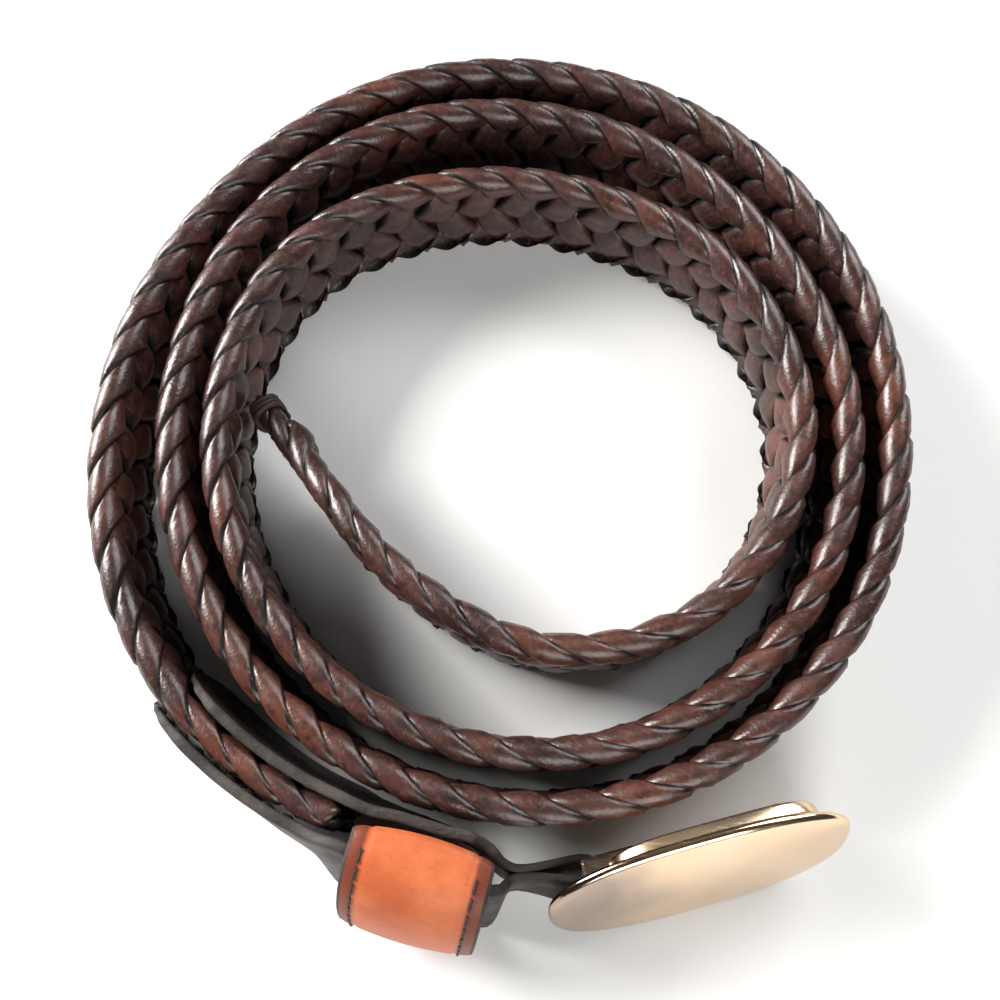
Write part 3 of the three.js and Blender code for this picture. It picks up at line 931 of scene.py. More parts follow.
@dataclass
class BraidedBand:
    """The flat plait of five strands, over one and under one."""

    route: CoilRoute
    leather: PlaitLeather
    # Near-black and matte: painted shade for the gaps between strands.
    core_shade_leather: StrapLeather
    strands: int = 5
    pitch: float = 7.4
    tip_pitch: float = 5.6
    step: float = 0.8
    first_ring: float = 0.2
    raggedness: float = 0.5
    ragged_turn: float = 2.3
    section_corners: int = 12
    strand_width: float = 6.0
    edge_width: float = 5.35
    strand_thickness: float = 2.45
    squareness: float = 2.8
    tilt: float = -4.0
    flat_tilt_share: float = 0.35
    shingle: float = 0.18
    edge_hold: float = 0.88
    hold_from: float = -2.2
    hold_to: float = 0.6
    least_reach: float = 0.2
    least_straight: float = 0.1
    least_radius: float = 0.05
    wrap_share: float = 0.118
    cycle_steps: int = 1440
    softening: int = 20
    core_steps: int = 360
    core_margin: float = 1.0
    core_half_share: float = 0.06
    core_inset_share: float = 0.45
    surface_shift: float = 311.0
    weave: tuple[tuple[float, float], ...] = (
        (0.00, -1.0), (0.15, -1.0), (0.24, -0.97), (0.305, 0.0), (0.37, 0.97), (0.43, 0.97),
        (0.50, 0.0), (0.57, -0.97), (0.63, -0.97), (0.695, 0.0), (0.76, 0.97), (0.85, 1.0), (1.00, 1.0),
    )
    drift_waves: tuple[tuple[float, float, float], ...] = ((0.035, 31.0, 1.0), (0.02, 9.7, 2.1))
    width_waves: tuple[tuple[float, float, float], ...] = ((0.035, 4.3, 1.7), (0.03, 1.9, 1.0))

    def cycle(self) -> tuple[np.ndarray, np.ndarray, np.ndarray, np.ndarray, np.ndarray]:
        """One round of a strand, from the upper edge down the inner side and back up.

        Returns:
            Places in the round, then the flat rise, the round rise, the outward share and the
            angle of the strand's outer side, softened where they meet.
        """
        place = np.arange(self.cycle_steps) / self.cycle_steps
        signed = np.where(place < 0.5, place, place - 1)
        low = place - 0.5
        reach = self.wrap_share
        upper = np.abs(signed) < reach
        lower = np.abs(low) < reach
        angle = np.where(signed > 0, np.pi, 0.0)
        angle = np.where(upper, np.pi / 2 * (1 + signed / reach), angle)
        angle = np.where(lower, np.pi / 2 * (1 - low / reach), angle)
        travel = (np.abs(signed) - reach) / (0.5 - 2 * reach)
        flat_rise = np.clip(1 - 2 * travel, -1, 1)
        round_rise = np.where(upper, np.sin(angle), np.where(lower, -np.sin(angle), 0.0))
        share = np.where(signed > 0, 2 * np.abs(signed), 1 - 2 * np.abs(signed))
        outward = smooth_table(self.weave, 1, share)
        outward = np.where(upper, np.cos(angle), np.where(lower, -np.cos(angle), outward))
        soften = np.hanning(2 * self.softening + 1)
        soften /= soften.sum()

        def softened(values: np.ndarray) -> np.ndarray:
            """The values, softened round the closed cycle."""
            joined = np.concatenate([values[-self.softening:], values, values[:self.softening]])
            return np.convolve(joined, soften, mode="valid")

        return place, softened(flat_rise), softened(round_rise), softened(outward), softened(angle)

    def strand(self, index: int, cycle: tuple[np.ndarray, ...]) -> tuple[np.ndarray, np.ndarray]:
        """The rings of one strand.

        Args:
            index: Which strand.
            cycle: What cycle() returned.

        Returns:
            Its rings of corners and the length along it at each.
        """
        route = self.route
        ragged = self.raggedness * math.sin(self.ragged_turn * index)
        lengths = np.arange(self.first_ring + ragged * ragged, route.length, self.step)
        tip_start = route.length - route.tip_length
        pitch = np.interp(lengths, [tip_start, route.length], [self.pitch, self.tip_pitch])
        phase = np.concatenate([[0.0], np.cumsum(self.step / pitch[:-1])]) + lengths[0] / self.pitch
        drift = wander(lengths, index, self.drift_waves)
        share = np.mod((phase - index + drift) / self.strands, 1)
        flat_rise, round_rise, outward, angle = (
            np.interp(share, cycle[0], column, period=1) for column in cycle[1:]
        )
        height, thickness, inward = route.sizes(lengths)
        half = thickness / 4
        reach = np.maximum(height / 2 - 2 * half, self.least_reach)
        rise = reach * flat_rise + half * round_rise
        aside = half * outward - inward
        point, out = route.frames(lengths)
        line = np.column_stack([point + out * aside[:, None], route.band_width / 2 + rise])
        ahead = unit(np.gradient(line, axis=0))
        face = np.column_stack([out * np.cos(angle)[:, None], np.sin(angle)])
        across = unit(np.cross(ahead, face))
        face = np.cross(across, ahead)
        at_edge = np.sin(angle) ** 2
        lean = np.radians(self.tilt) * (self.flat_tilt_share + (1 - self.flat_tilt_share) * at_edge)
        lean_cos, lean_sin = np.cos(lean)[:, None], np.sin(lean)[:, None]
        face, across = face * lean_cos + across * lean_sin, across * lean_cos - face * lean_sin
        size = pitch / self.pitch
        uneven = 1 + wander(lengths, index, self.width_waves)
        width = (self.strand_width + (self.edge_width - self.strand_width) * at_edge) * size * uneven
        depth = self.strand_thickness * thickness / route.band_thickness
        corner = 2 * np.pi * np.arange(self.section_corners) / self.section_corners
        side, top = superellipse(corner, self.squareness)
        rings = (
            line[:, None]
            + across[:, None] * (side[None, :] * width[:, None] / 2)[..., None]
            + face[:, None] * (top[None, :] * depth[:, None] / 2)[..., None]
        )
        wanted = half[:, None] + top[None, :] * depth[:, None] / 2 + self.shingle * side[None, :]
        return self.laid_round_edge(rings, lengths, wanted), length_at(line)

    def laid_round_edge(self, rings: np.ndarray, lengths: np.ndarray, wanted: np.ndarray) -> np.ndarray:
        """Bends a strand's corners round the plait's two rounded edges.

        Args:
            rings: Its rings of corners.
            lengths: The length along the plait at each ring.
            wanted: How far from the edge's own axis each corner should lie.

        Returns:
            The rings, with the corners past the flat faces moved towards or away from that axis.
        """
        height, thickness, inward = self.route.sizes(lengths)
        point, out = self.route.frames(lengths)
        base = point - out * inward[:, None]
        offset = rings[..., :2] - base[:, None]
        aside = (offset * out[:, None]).sum(axis=-1)
        rise = rings[..., 2] - self.route.band_width / 2
        straight = np.maximum(height / 2 - thickness / 2, self.least_straight)[:, None]
        beyond = rise - np.clip(rise, -straight, straight)
        distance = np.maximum(np.hypot(aside, beyond), self.least_radius)
        hold = self.edge_hold * smoothstep(np.abs(rise) - straight, self.hold_from, self.hold_to)
        change = hold * (np.maximum(wanted, self.least_radius) / distance - 1)
        moved = rings.copy()
        moved[..., :2] += out[:, None] * (aside * change)[..., None]
        moved[..., 2] += beyond * change
        return moved

    def core(self) -> tuple[np.ndarray, np.ndarray]:
        """A thin near-black strip in the plait's middle: painted shade that shuts the gaps between strands.

        Returns:
            Its rings of corners and the length along it at each.
        """
        route = self.route
        lengths = np.linspace(self.core_margin, route.length - self.core_margin, self.core_steps)
        height, thickness, inward = route.sizes(lengths)
        point, out = route.frames(lengths)
        rings = []
        for side, end in ((1, 1), (1, -1), (-1, -1), (-1, 1)):
            aside = side * thickness * self.core_half_share - inward
            rise = route.band_width / 2 + end * (height / 2 - thickness * self.core_inset_share)
            rings.append(np.column_stack([point + out * aside[:, None], rise]))
        return np.stack(rings, axis=1), lengths

    def build(self) -> bpy.types.Object:
        """Makes the plait.

        Returns:
            The piece.
        """
        maker = PieceMaker()
        cycle = self.cycle()
        for index in range(self.strands):
            rings, run = self.strand(index, cycle)
            maker.skin(rings, run + self.surface_shift * index)
        # The near-black strip is painted shade seen through the gaps between strands.
        rings, run = self.core()
        maker.skin(rings, run, slot=1)
        materials = [self.leather.material(), self.core_shade_leather.material()]
        piece = maker.make("plait", self.route.middle, materials)
        self.dress(piece)
        return piece

    def dress(self, piece: bpy.types.Object) -> None:
        """Joins the plait to the CAD frame.

        Args:
            piece: The piece.
        """
        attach(piece, Body.BELT.value)
        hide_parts("braided_band")


@dataclass
class TipBinding:
    """The waxed thread wound round the plait's free end."""

    route: CoilRoute
    thread: WaxedThread
    length: float = 3.6
    turns: int = 3
    first_turn: float = 0.5
    steps_per_turn: int = 26
    thread_radius: float = 0.58
    thread_sides: int = 8
    proud: float = 0.42
    margin: float = 0.3
    corner_sharpness: float = 4.0

    def outline(self, length: float, turn: float) -> np.ndarray:
        """A point of the winding.

        Args:
            length: The length along the plait.
            turn: Turns round it, from its outer side.

        Returns:
            The point.
        """
        at = np.array([length])
        height, thickness, inward = (float(value[0]) for value in self.route.sizes(at))
        point, out = self.route.frames(at)
        half_width = thickness / 2 + self.proud
        half_height = height / 2 + self.proud
        angle = 2 * math.pi * turn
        straight = max(half_height - half_width, 0)
        aside = half_width * math.cos(angle)
        towards_end = math.tanh(self.corner_sharpness * math.sin(angle))
        rise = half_width * math.sin(angle) + straight * towards_end
        plan = point[0] + out[0] * (aside - inward)
        return np.array([plan[0], plan[1], self.route.band_width / 2 + rise])

    def build(self) -> bpy.types.Object:
        """Makes the winding as one helix.

        Returns:
            The piece.
        """
        maker = PieceMaker()
        start = self.route.length - self.length - self.margin + self.thread_radius
        travel = self.length - 2 * self.thread_radius
        steps = self.steps_per_turn * self.turns
        path = []
        for step in range(steps + 1):
            turn = self.turns * step / steps
            path.append(self.outline(start + travel * step / steps, turn + self.first_turn))
        maker.tube(np.array(path), self.thread_radius, self.thread_sides)
        piece = maker.make("tip_winding", self.route.middle, [self.thread.material()])
        self.dress(piece)
        return piece

    def dress(self, piece: bpy.types.Object) -> None:
        """Joins the winding to the CAD frame.

        Args:
            piece: The piece.
        """
        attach(piece, Body.BELT.value)
        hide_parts("tip_binding")


@dataclass
class FoldedEnd:
    """The places of the leather end, the keeper and the buckle, as in the CAD source."""

    route: CoilRoute
    run_angle: float = -14.5
    fit_gap: float = 0.3
    strap_thickness: float = 1.65
    tab_thickness: float = 1.2
    tab_height: float = 10.0
    neck_length: float = 14.3
    keeper_length: float = 20.5
    keeper_wall: float = 1.5
    keeper_play: float = 0.9
    keeper_air: float = 0.5
    keeper_start: float = 3.4
    keeper_lean: float = 20.0
    inner_leg_out: float = -0.122
    plaque_height: float = 26.0
    plaque_thickness: float = 1.4
    plaque_dome: float = 0.9
    plaque_lean: float = 28.0
    plaque_turn: float = 29.0
    bar_radius: float = 0.8

    def __post_init__(self) -> None:
        """Works out the derived places."""
        point, _ = self.route.frames(np.array([0.0]))
        self.braid_end = point[0]
        run = math.radians(self.run_angle)
        self.run_way = np.array([math.cos(run), math.sin(run)])
        self.out_way = np.array([self.run_way[1], -self.run_way[0]])
        self.neck_start = self.keeper_start + self.keeper_length
        self.bar_along = self.neck_start + self.neck_length
        self.place_bar(run)
        self.place_keeper()

    def place_bar(self, run: float) -> None:
        """Works out how the plaque stands and where its bar is.

        Args:
            run: The angle of the strap's run, in radians.
        """
        lean = math.radians(self.plaque_lean)
        half_plaque = self.plaque_thickness / 2 + self.plaque_dome
        self.bar_behind = half_plaque + 2 * self.fit_gap + self.tab_thickness + self.bar_radius
        plaque_rise = self.plaque_height / 2 * math.cos(lean) + half_plaque * math.sin(lean)
        self.bar_rise = plaque_rise - self.bar_behind * math.sin(lean)
        turned = run + math.radians(self.plaque_turn)
        self.plaque_run = np.array([math.cos(turned), math.sin(turned)])
        self.plaque_out = np.array([self.plaque_run[1], -self.plaque_run[0]])

    def place_keeper(self) -> None:
        """Works out where the keeper stands and where the outer leg lies in it."""
        lean = math.radians(self.keeper_lean)
        leg_out = self.inner_leg_out * self.neck_length
        self.keeper_height = self.route.band_width + 2 * (self.keeper_play + self.keeper_wall)
        half_height = self.keeper_height / 2
        self.keeper_rise = half_height * math.cos(lean)
        self.keeper_back = (
            leg_out + self.strap_thickness / 2 + self.keeper_air + half_height * math.sin(lean)
        )
        leg_in_keeper = self.keeper_wall + self.fit_gap + self.strap_thickness / 2
        self.outer_leg_out = self.keeper_back + leg_in_keeper * math.cos(lean)
        self.outer_leg_rise = self.keeper_rise + leg_in_keeper * math.sin(lean)

    def leaning_up(self, lean: float, outside: Optional[np.ndarray] = None) -> np.ndarray:
        """The way up along something whose top leans to the inside of the belt.

        Args:
            lean: How far it leans, in degrees.
            outside: The way out of the belt there; the strap's own if left out.

        Returns:
            The way up.
        """
        side = self.out_way if outside is None else outside
        tilt = math.radians(lean)
        return np.array([-side[0] * math.sin(tilt), -side[1] * math.sin(tilt), math.cos(tilt)])

    def place(self, along: float, out: float, rise: float) -> np.ndarray:
        """A point from its lengths along the strap's run and out of it, and its height."""
        plan = self.braid_end + self.run_way * along + self.out_way * out
        return np.array([plan[0], plan[1], rise])


class Station(NamedTuple):
    """One place of the strap's middle line, with its way up and its section there."""

    place: np.ndarray
    up: np.ndarray
    height: float
    thickness: float


@dataclass
class Chape:
    """The leather strap folded round the buckle's bar, with its tongues along the plait."""

    end: FoldedEnd
    face_leather: StrapLeather
    edge_leather: StrapLeather
    thread: WaxedThread
    tail_length: float = 33.0
    tongue_length: float = 9.0
    tail_step: float = 6.0
    tongue_lean: float = 6.0
    tail_lean: float = 12.0
    line_steps: int = 7
    corner_radius: float = 0.45
    corner_steps: int = 3
    stitch: Stitch = Stitch(2.3, 3.3, 0.3, start=1.0, dips=(-0.18, 0.1, 0.16, 0.1, -0.18))
    stitch_inset: float = 2.3
    stitch_proud: float = 0.02
    full_inset_height: float = 16.0
    unsewn_rows: int = 4
    sewn_stations: int = 3
    eye_angles: tuple[float, ...] = (-100, -50, 0, 50, 100)
    tongue: tuple[tuple[float, float, float], ...] = (
        (0.00, 0.22, 0.30), (0.08, 0.48, 0.38), (0.25, 0.70, 0.55), (0.55, 0.90, 0.80),
        (1.00, 1.00, 1.00),
    )
    inner_leg: tuple[tuple[float, float, float, float, float], ...] = (
        (0.05, 0.00, -0.165, 0.0, 1), (0.30, 0.00, -0.150, 0.0, 3), (0.60, 0.00, -0.122, 0.0, 4),
        (0.80, 0.00, -0.100, 0.0, 6), (0.95, 0.00, -0.010, 0.3, 9), (1.00, 0.06, 0.075, 0.8, 12),
    )
    outer_leg: tuple[float, ...] = (1.05, 0.8, 0.5, 0.2, -0.05)
    pinch: tuple[float, float, float] = (0.22, 0.16, 15)

    def leaning_rise(self, lean: float) -> float:
        """The height of the strap's middle line where its lower edge stands on the ground.

        Args:
            lean: How far the strap leans, in degrees.

        Returns:
            The height.
        """
        tilt = math.radians(lean)
        half_width = self.end.route.band_width / 2
        return half_width * math.cos(tilt) + self.end.strap_thickness / 2 * math.sin(tilt)

    def on_plait(
        self, length: float, side: int, lean: float, height: float, thinned: float = 1.0
    ) -> Station:
        """A station beside the plait.

        Args:
            length: The length along the plait.
            side: 1 outside the plait, or -1 inside it.
            lean: How far the strap leans in, in degrees.
            height: The strap's height there.
            thinned: The share of its thickness that is left.

        Returns:
            The station.
        """
        strap_thickness = self.end.strap_thickness * thinned
        route = self.end.route
        at = np.array([length])
        point, out = route.frames(at)
        _, thickness, _ = route.sizes(at)
        offset = (
            float(thickness[0]) / 2
            + self.end.fit_gap
            + strap_thickness / 2
            + route.band_width / 2 * math.sin(math.radians(lean))
        )
        plan = point[0] + out[0] * side * offset
        place = np.array([plan[0], plan[1], self.leaning_rise(lean)])
        return Station(place, self.end.leaning_up(lean, out[0]), height, strap_thickness)

    def inner_tail(self) -> list[Station]:
        """The stations inside the plait.

        Returns:
            Them, from the tongue's tip to the plait's end.
        """
        width = self.end.route.band_width
        made = [
            self.on_plait(self.tail_length - along * self.tongue_length, -1, 0, height * width, thinned)
            for along, height, thinned in self.tongue
        ]
        flat_from = self.tail_length - self.tongue_length
        count = math.ceil(flat_from / self.tail_step)
        made += [self.on_plait(flat_from * (1 - i / count), -1, 0, width) for i in range(1, count + 1)]
        return made

    def fold(self) -> list[Station]:
        """The stations of the two legs and the eye round the bar.

        Returns:
            Them, along the inner leg, round the bar and back along the outer leg.
        """
        end = self.end
        width = end.route.band_width
        made = []
        for keeper_share, neck_share, out, narrowing, lean in self.inner_leg:
            along = end.keeper_start + keeper_share * end.keeper_length + neck_share * end.neck_length
            place = end.place(along, out * end.neck_length, self.leaning_rise(lean))
            height = width + (end.tab_height - width) * narrowing
            thickness = end.strap_thickness + (end.tab_thickness - end.strap_thickness) * narrowing
            made.append(Station(place, end.leaning_up(lean), height, thickness))
        neck_share, out, lean = self.pinch
        along = end.neck_start + neck_share * end.neck_length
        half = (end.tab_thickness + end.fit_gap) / 2
        pinched = [
            Station(
                end.place(along, out * end.neck_length + side * half, self.leaning_rise(lean)),
                end.leaning_up(lean),
                end.tab_height,
                end.tab_thickness,
            )
            for side in (-1, 1)
        ]
        radius = end.bar_radius + end.fit_gap + end.tab_thickness / 2
        bar_place = end.place(end.bar_along, 0, end.bar_rise)
        bar_up = end.leaning_up(end.plaque_lean, end.plaque_out)
        eye_out = unit(np.cross(np.array([*end.run_way, 0.0]), bar_up))
        eye_along = np.cross(bar_up, eye_out)
        made.append(pinched[0])
        for angle in self.eye_angles:
            turn = math.radians(angle)
            place = bar_place + eye_along * radius * math.cos(turn) + eye_out * radius * math.sin(turn)
            made.append(Station(place, bar_up, end.tab_height, end.tab_thickness))
        made.append(pinched[1])
        for share in self.outer_leg:
            along = end.keeper_start + share * end.keeper_length
            place = end.place(along, end.outer_leg_out, end.outer_leg_rise)
            made.append(Station(place, end.leaning_up(end.keeper_lean), width, end.strap_thickness))
        return made

    def outer_tail(self) -> list[Station]:
        """The stations outside the plait.

        Returns:
            Them, from the plait's end to the tongue's tip.
        """
        width = self.end.route.band_width
        start = self.end.keeper_start

        def tail(length: float, height: float, thinned: float) -> Station:
            """A station of the outer tail, which leans less and less."""
            lean = self.tail_lean + (self.tongue_lean - self.tail_lean) * length / self.tail_length
            return self.on_plait(length, 1, lean, height, thinned)

        span = self.tail_length - self.tongue_length - start
        count = math.ceil(span / self.tail_step)
        made = [tail(start + span * i / count, width, 1) for i in range(count)]
        made += [
            tail(self.tail_length - along * self.tongue_length, height * width, thinned)
            for along, height, thinned in reversed(self.tongue)
        ]
        return made

    def sections(self) -> tuple[np.ndarray, ...]:
        """The strap's middle line, from tongue to tongue.

        Returns:
            Its points, with the ways across and up, the heights and the thicknesses there.
        """
        stations = [*self.inner_tail(), *self.fold(), *self.outer_tail()]
        line = flowing_line(np.array([station.place for station in stations]), self.line_steps)
        place = np.arange(len(line)) / self.line_steps
        index = np.minimum(place.astype(int), len(stations) - 2)
        blend = smoothstep(place - index, 0, 1)

        def between(name: str) -> np.ndarray:
            """What the stations say under a name, blended along the line.

            Args:
                name: The station's field.

            Returns:
                One value for each point of the line.
            """
            values = np.array([getattr(station, name) for station in stations], float)
            share = blend[:, None] if values.ndim > 1 else blend
            return values[index] * (1 - share) + values[index + 1] * share

        ahead = np.gradient(line, axis=0)
        across = unit(np.column_stack([ahead[:, 1], -ahead[:, 0], np.zeros(len(line))]))
        return line, across, unit(between("up")), between("height"), between("thickness")

    def sew_tail(self, maker: PieceMaker, parts: tuple[np.ndarray, ...], rows: slice) -> None:
        """Sews a row of stitches along both edges of one tail.

        Args:
            maker: The piece that gets them.
            parts: What sections() returned.
            rows: The stretch of the line that is sewn.
        """
        line, across, up, height, thickness = (part[rows] for part in parts)
        for end in (1, -1):
            inset = self.stitch_inset * np.minimum(1, height / self.full_inset_height)
            rise = end * (height / 2 - inset)
            seam = line + up * rise[:, None] + across * (thickness / 2 + self.stitch_proud)[:, None]
            maker.sew(seam, across, self.stitch, slot=2)

    def build(self) -> bpy.types.Object:
        """Makes the strap with its edges and stitches.

        Returns:
            The piece.
        """
        maker = PieceMaker()
        parts = self.sections()
        line, across, up, height, thickness = parts
        rings = []
        for row in range(len(line)):
            outline = rounded_outline(thickness[row], height[row], self.corner_radius, self.corner_steps)
            rings.append(line[row] + outline[:, :1] * across[row] + outline[:, 1:] * up[row])
        corner_points = self.corner_steps + 1
        broad_sides = (corner_points - 1, 3 * corner_points - 1)
        side_slots = [0 if side in broad_sides else 1 for side in range(4 * corner_points)]
        maker.skin(np.array(rings), slot=1, side_slots=side_slots)
        sewn = self.line_steps * (len(self.tongue) + self.sewn_stations)
        self.sew_tail(maker, parts, slice(self.unsewn_rows, sewn))
        self.sew_tail(maker, parts, slice(len(line) - sewn, len(line) - self.unsewn_rows))
        materials = [self.face_leather.material(), self.edge_leather.material(), self.thread.material()]
        piece = maker.make("folded_strap", self.end.route.middle, materials)
        self.dress(piece)
        return piece

    def dress(self, piece: bpy.types.Object) -> None:
        """Joins the strap to the CAD frame.

        Args:
            piece: The piece.
        """
        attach(piece, Body.BELT.value)
        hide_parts("chape")


@dataclass
class Keeper:
    """The sliding loop of tan leather, sewn along both its ends."""

    end: FoldedEnd
    leather: KeeperLeather
    edge_leather: StrapLeather
    thread: WaxedThread
    room: float = 4.6
    roundness: float = 2.4
    outline_steps: int = 48
    back_steps: int = 13
    along_steps: int = 36
    edge_radius: float = 0.5
    crown: float = 0.95
    crown_power: float = 0.7
    groove_depth: float = 0.16
    groove_at: float = 2.6
    groove_width: float = 0.32
    stitch: Stitch = Stitch(1.9, 2.5, 0.26, start=1.2, dips=(-0.2, 0.06, 0.1, 0.06, -0.2), end_margin=0.8)
    stitch_inset: float = 2.1

    def outline(self, inset: float) -> np.ndarray:
        """The loop's section, with a flat back and a bowed front.

        Args:
            inset: A depth in its wall.

        Returns:
            The section's (out, up) points at that depth.
        """
        end = self.end
        half = end.keeper_height / 2 - inset
        depth = self.room + 2 * end.keeper_wall + end.strap_thickness - 2 * inset
        angle = math.pi * (np.arange(self.outline_steps + 1) / self.outline_steps - 0.5)
        out, rise = superellipse(angle, self.roundness)
        front = np.column_stack([inset + depth * out, half * rise])
        back_rise = half * np.linspace(1, -1, self.back_steps + 1)[1:-1]
        back = np.column_stack([np.full(len(back_rise), inset), back_rise])
        return np.vstack([front, back])

    def ring(self, along: float, inset: float) -> np.ndarray:
        """The loop's section in its place.

        Args:
            along: The length from the loop's buckle end.
            inset: The depth in its wall.

        Returns:
            The points.
        """
        end = self.end
        origin = end.place(end.neck_start, end.keeper_back, end.keeper_rise)
        up = end.leaning_up(end.keeper_lean)
        outline = self.outline(inset)
        out = np.cross(up, self.back)
        return origin + self.back * along + outline[:, :1] * out + outline[:, 1:] * up

    @property
    def back(self) -> np.ndarray:
        """The way along the loop, from the buckle back to the plait."""
        return np.array([-self.end.run_way[0], -self.end.run_way[1], 0.0])

    def depth_at(self, along: float) -> float:
        """How deep the outside lies under that of a straight loop: it is bowed, with two grooves.

        Args:
            along: The length from the loop's buckle end.

        Returns:
            The depth, which is less than nothing where the loop is crowned.
        """
        length, radius = self.end.keeper_length, self.edge_radius
        share = (along - radius) / (length - 2 * radius)
        from_end = min(along, length - along)
        groove = self.groove_depth * math.exp(-((from_end - self.groove_at) / self.groove_width) ** 2)
        return groove - self.crown * max(math.sin(math.pi * share), 0.0) ** self.crown_power

    def outside_profile(self) -> list[tuple[float, float]]:
        """The outside, from the buckle end back.

        Returns:
            The (along, depth in the wall) points.
        """
        length, radius = self.end.keeper_length, self.edge_radius
        span = length - 2 * radius
        alongs = [radius + span * step / self.along_steps for step in range(self.along_steps + 1)]
        return [(along, self.depth_at(along)) for along in alongs]

    def edge_profile(self) -> list[tuple[float, float]]:
        """The two edges and the inside, from the outside's far end round to its near end.

        Returns:
            The (along, depth in the wall) points.
        """
        length, wall, radius = self.end.keeper_length, self.end.keeper_wall, self.edge_radius
        rounding = []
        for angle in QUARTER_TURN:
            turn = math.radians(angle)
            rounding.append((radius * (1 - math.sin(turn)), radius * (1 - math.cos(turn))))
        points = [(length - along, inset) for along, inset in rounding]
        points += [(length, wall - radius), (length - radius, wall), (radius, wall), (0.0, wall - radius)]
        return points + rounding[::-1]

    def build(self) -> bpy.types.Object:
        """Makes the loop and its stitches.

        Returns:
            The piece.
        """
        maker = PieceMaker()
        outside = self.outside_profile()
        rings = [self.ring(along, inset) for along, inset in outside]
        maker.skin(np.array(rings), np.array([along for along, _ in outside]), capped=False)
        inner = [rings[-1], *(self.ring(along, inset) for along, inset in self.edge_profile()), rings[0]]
        maker.skin(np.array(inner), np.arange(len(inner), dtype=float), slot=1, capped=False)
        for along in (self.stitch_inset, self.end.keeper_length - self.stitch_inset):
            seam = self.ring(along, self.depth_at(along))[:self.outline_steps + 1]
            normal = np.cross(unit(np.gradient(seam, axis=0)), -self.back)
            maker.sew(seam, normal, self.stitch, slot=2)
        materials = [self.leather.material(), self.edge_leather.material(), self.thread.material()]
        piece = maker.make("keeper_loop", self.end.route.middle, materials)
        self.dress(piece)
        return piece

    def dress(self, piece: bpy.types.Object) -> None:
        """Joins the loop to the CAD frame.

        Args:
            piece: The piece.
        """
        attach(piece, Body.BELT.value)
        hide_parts("keeper")


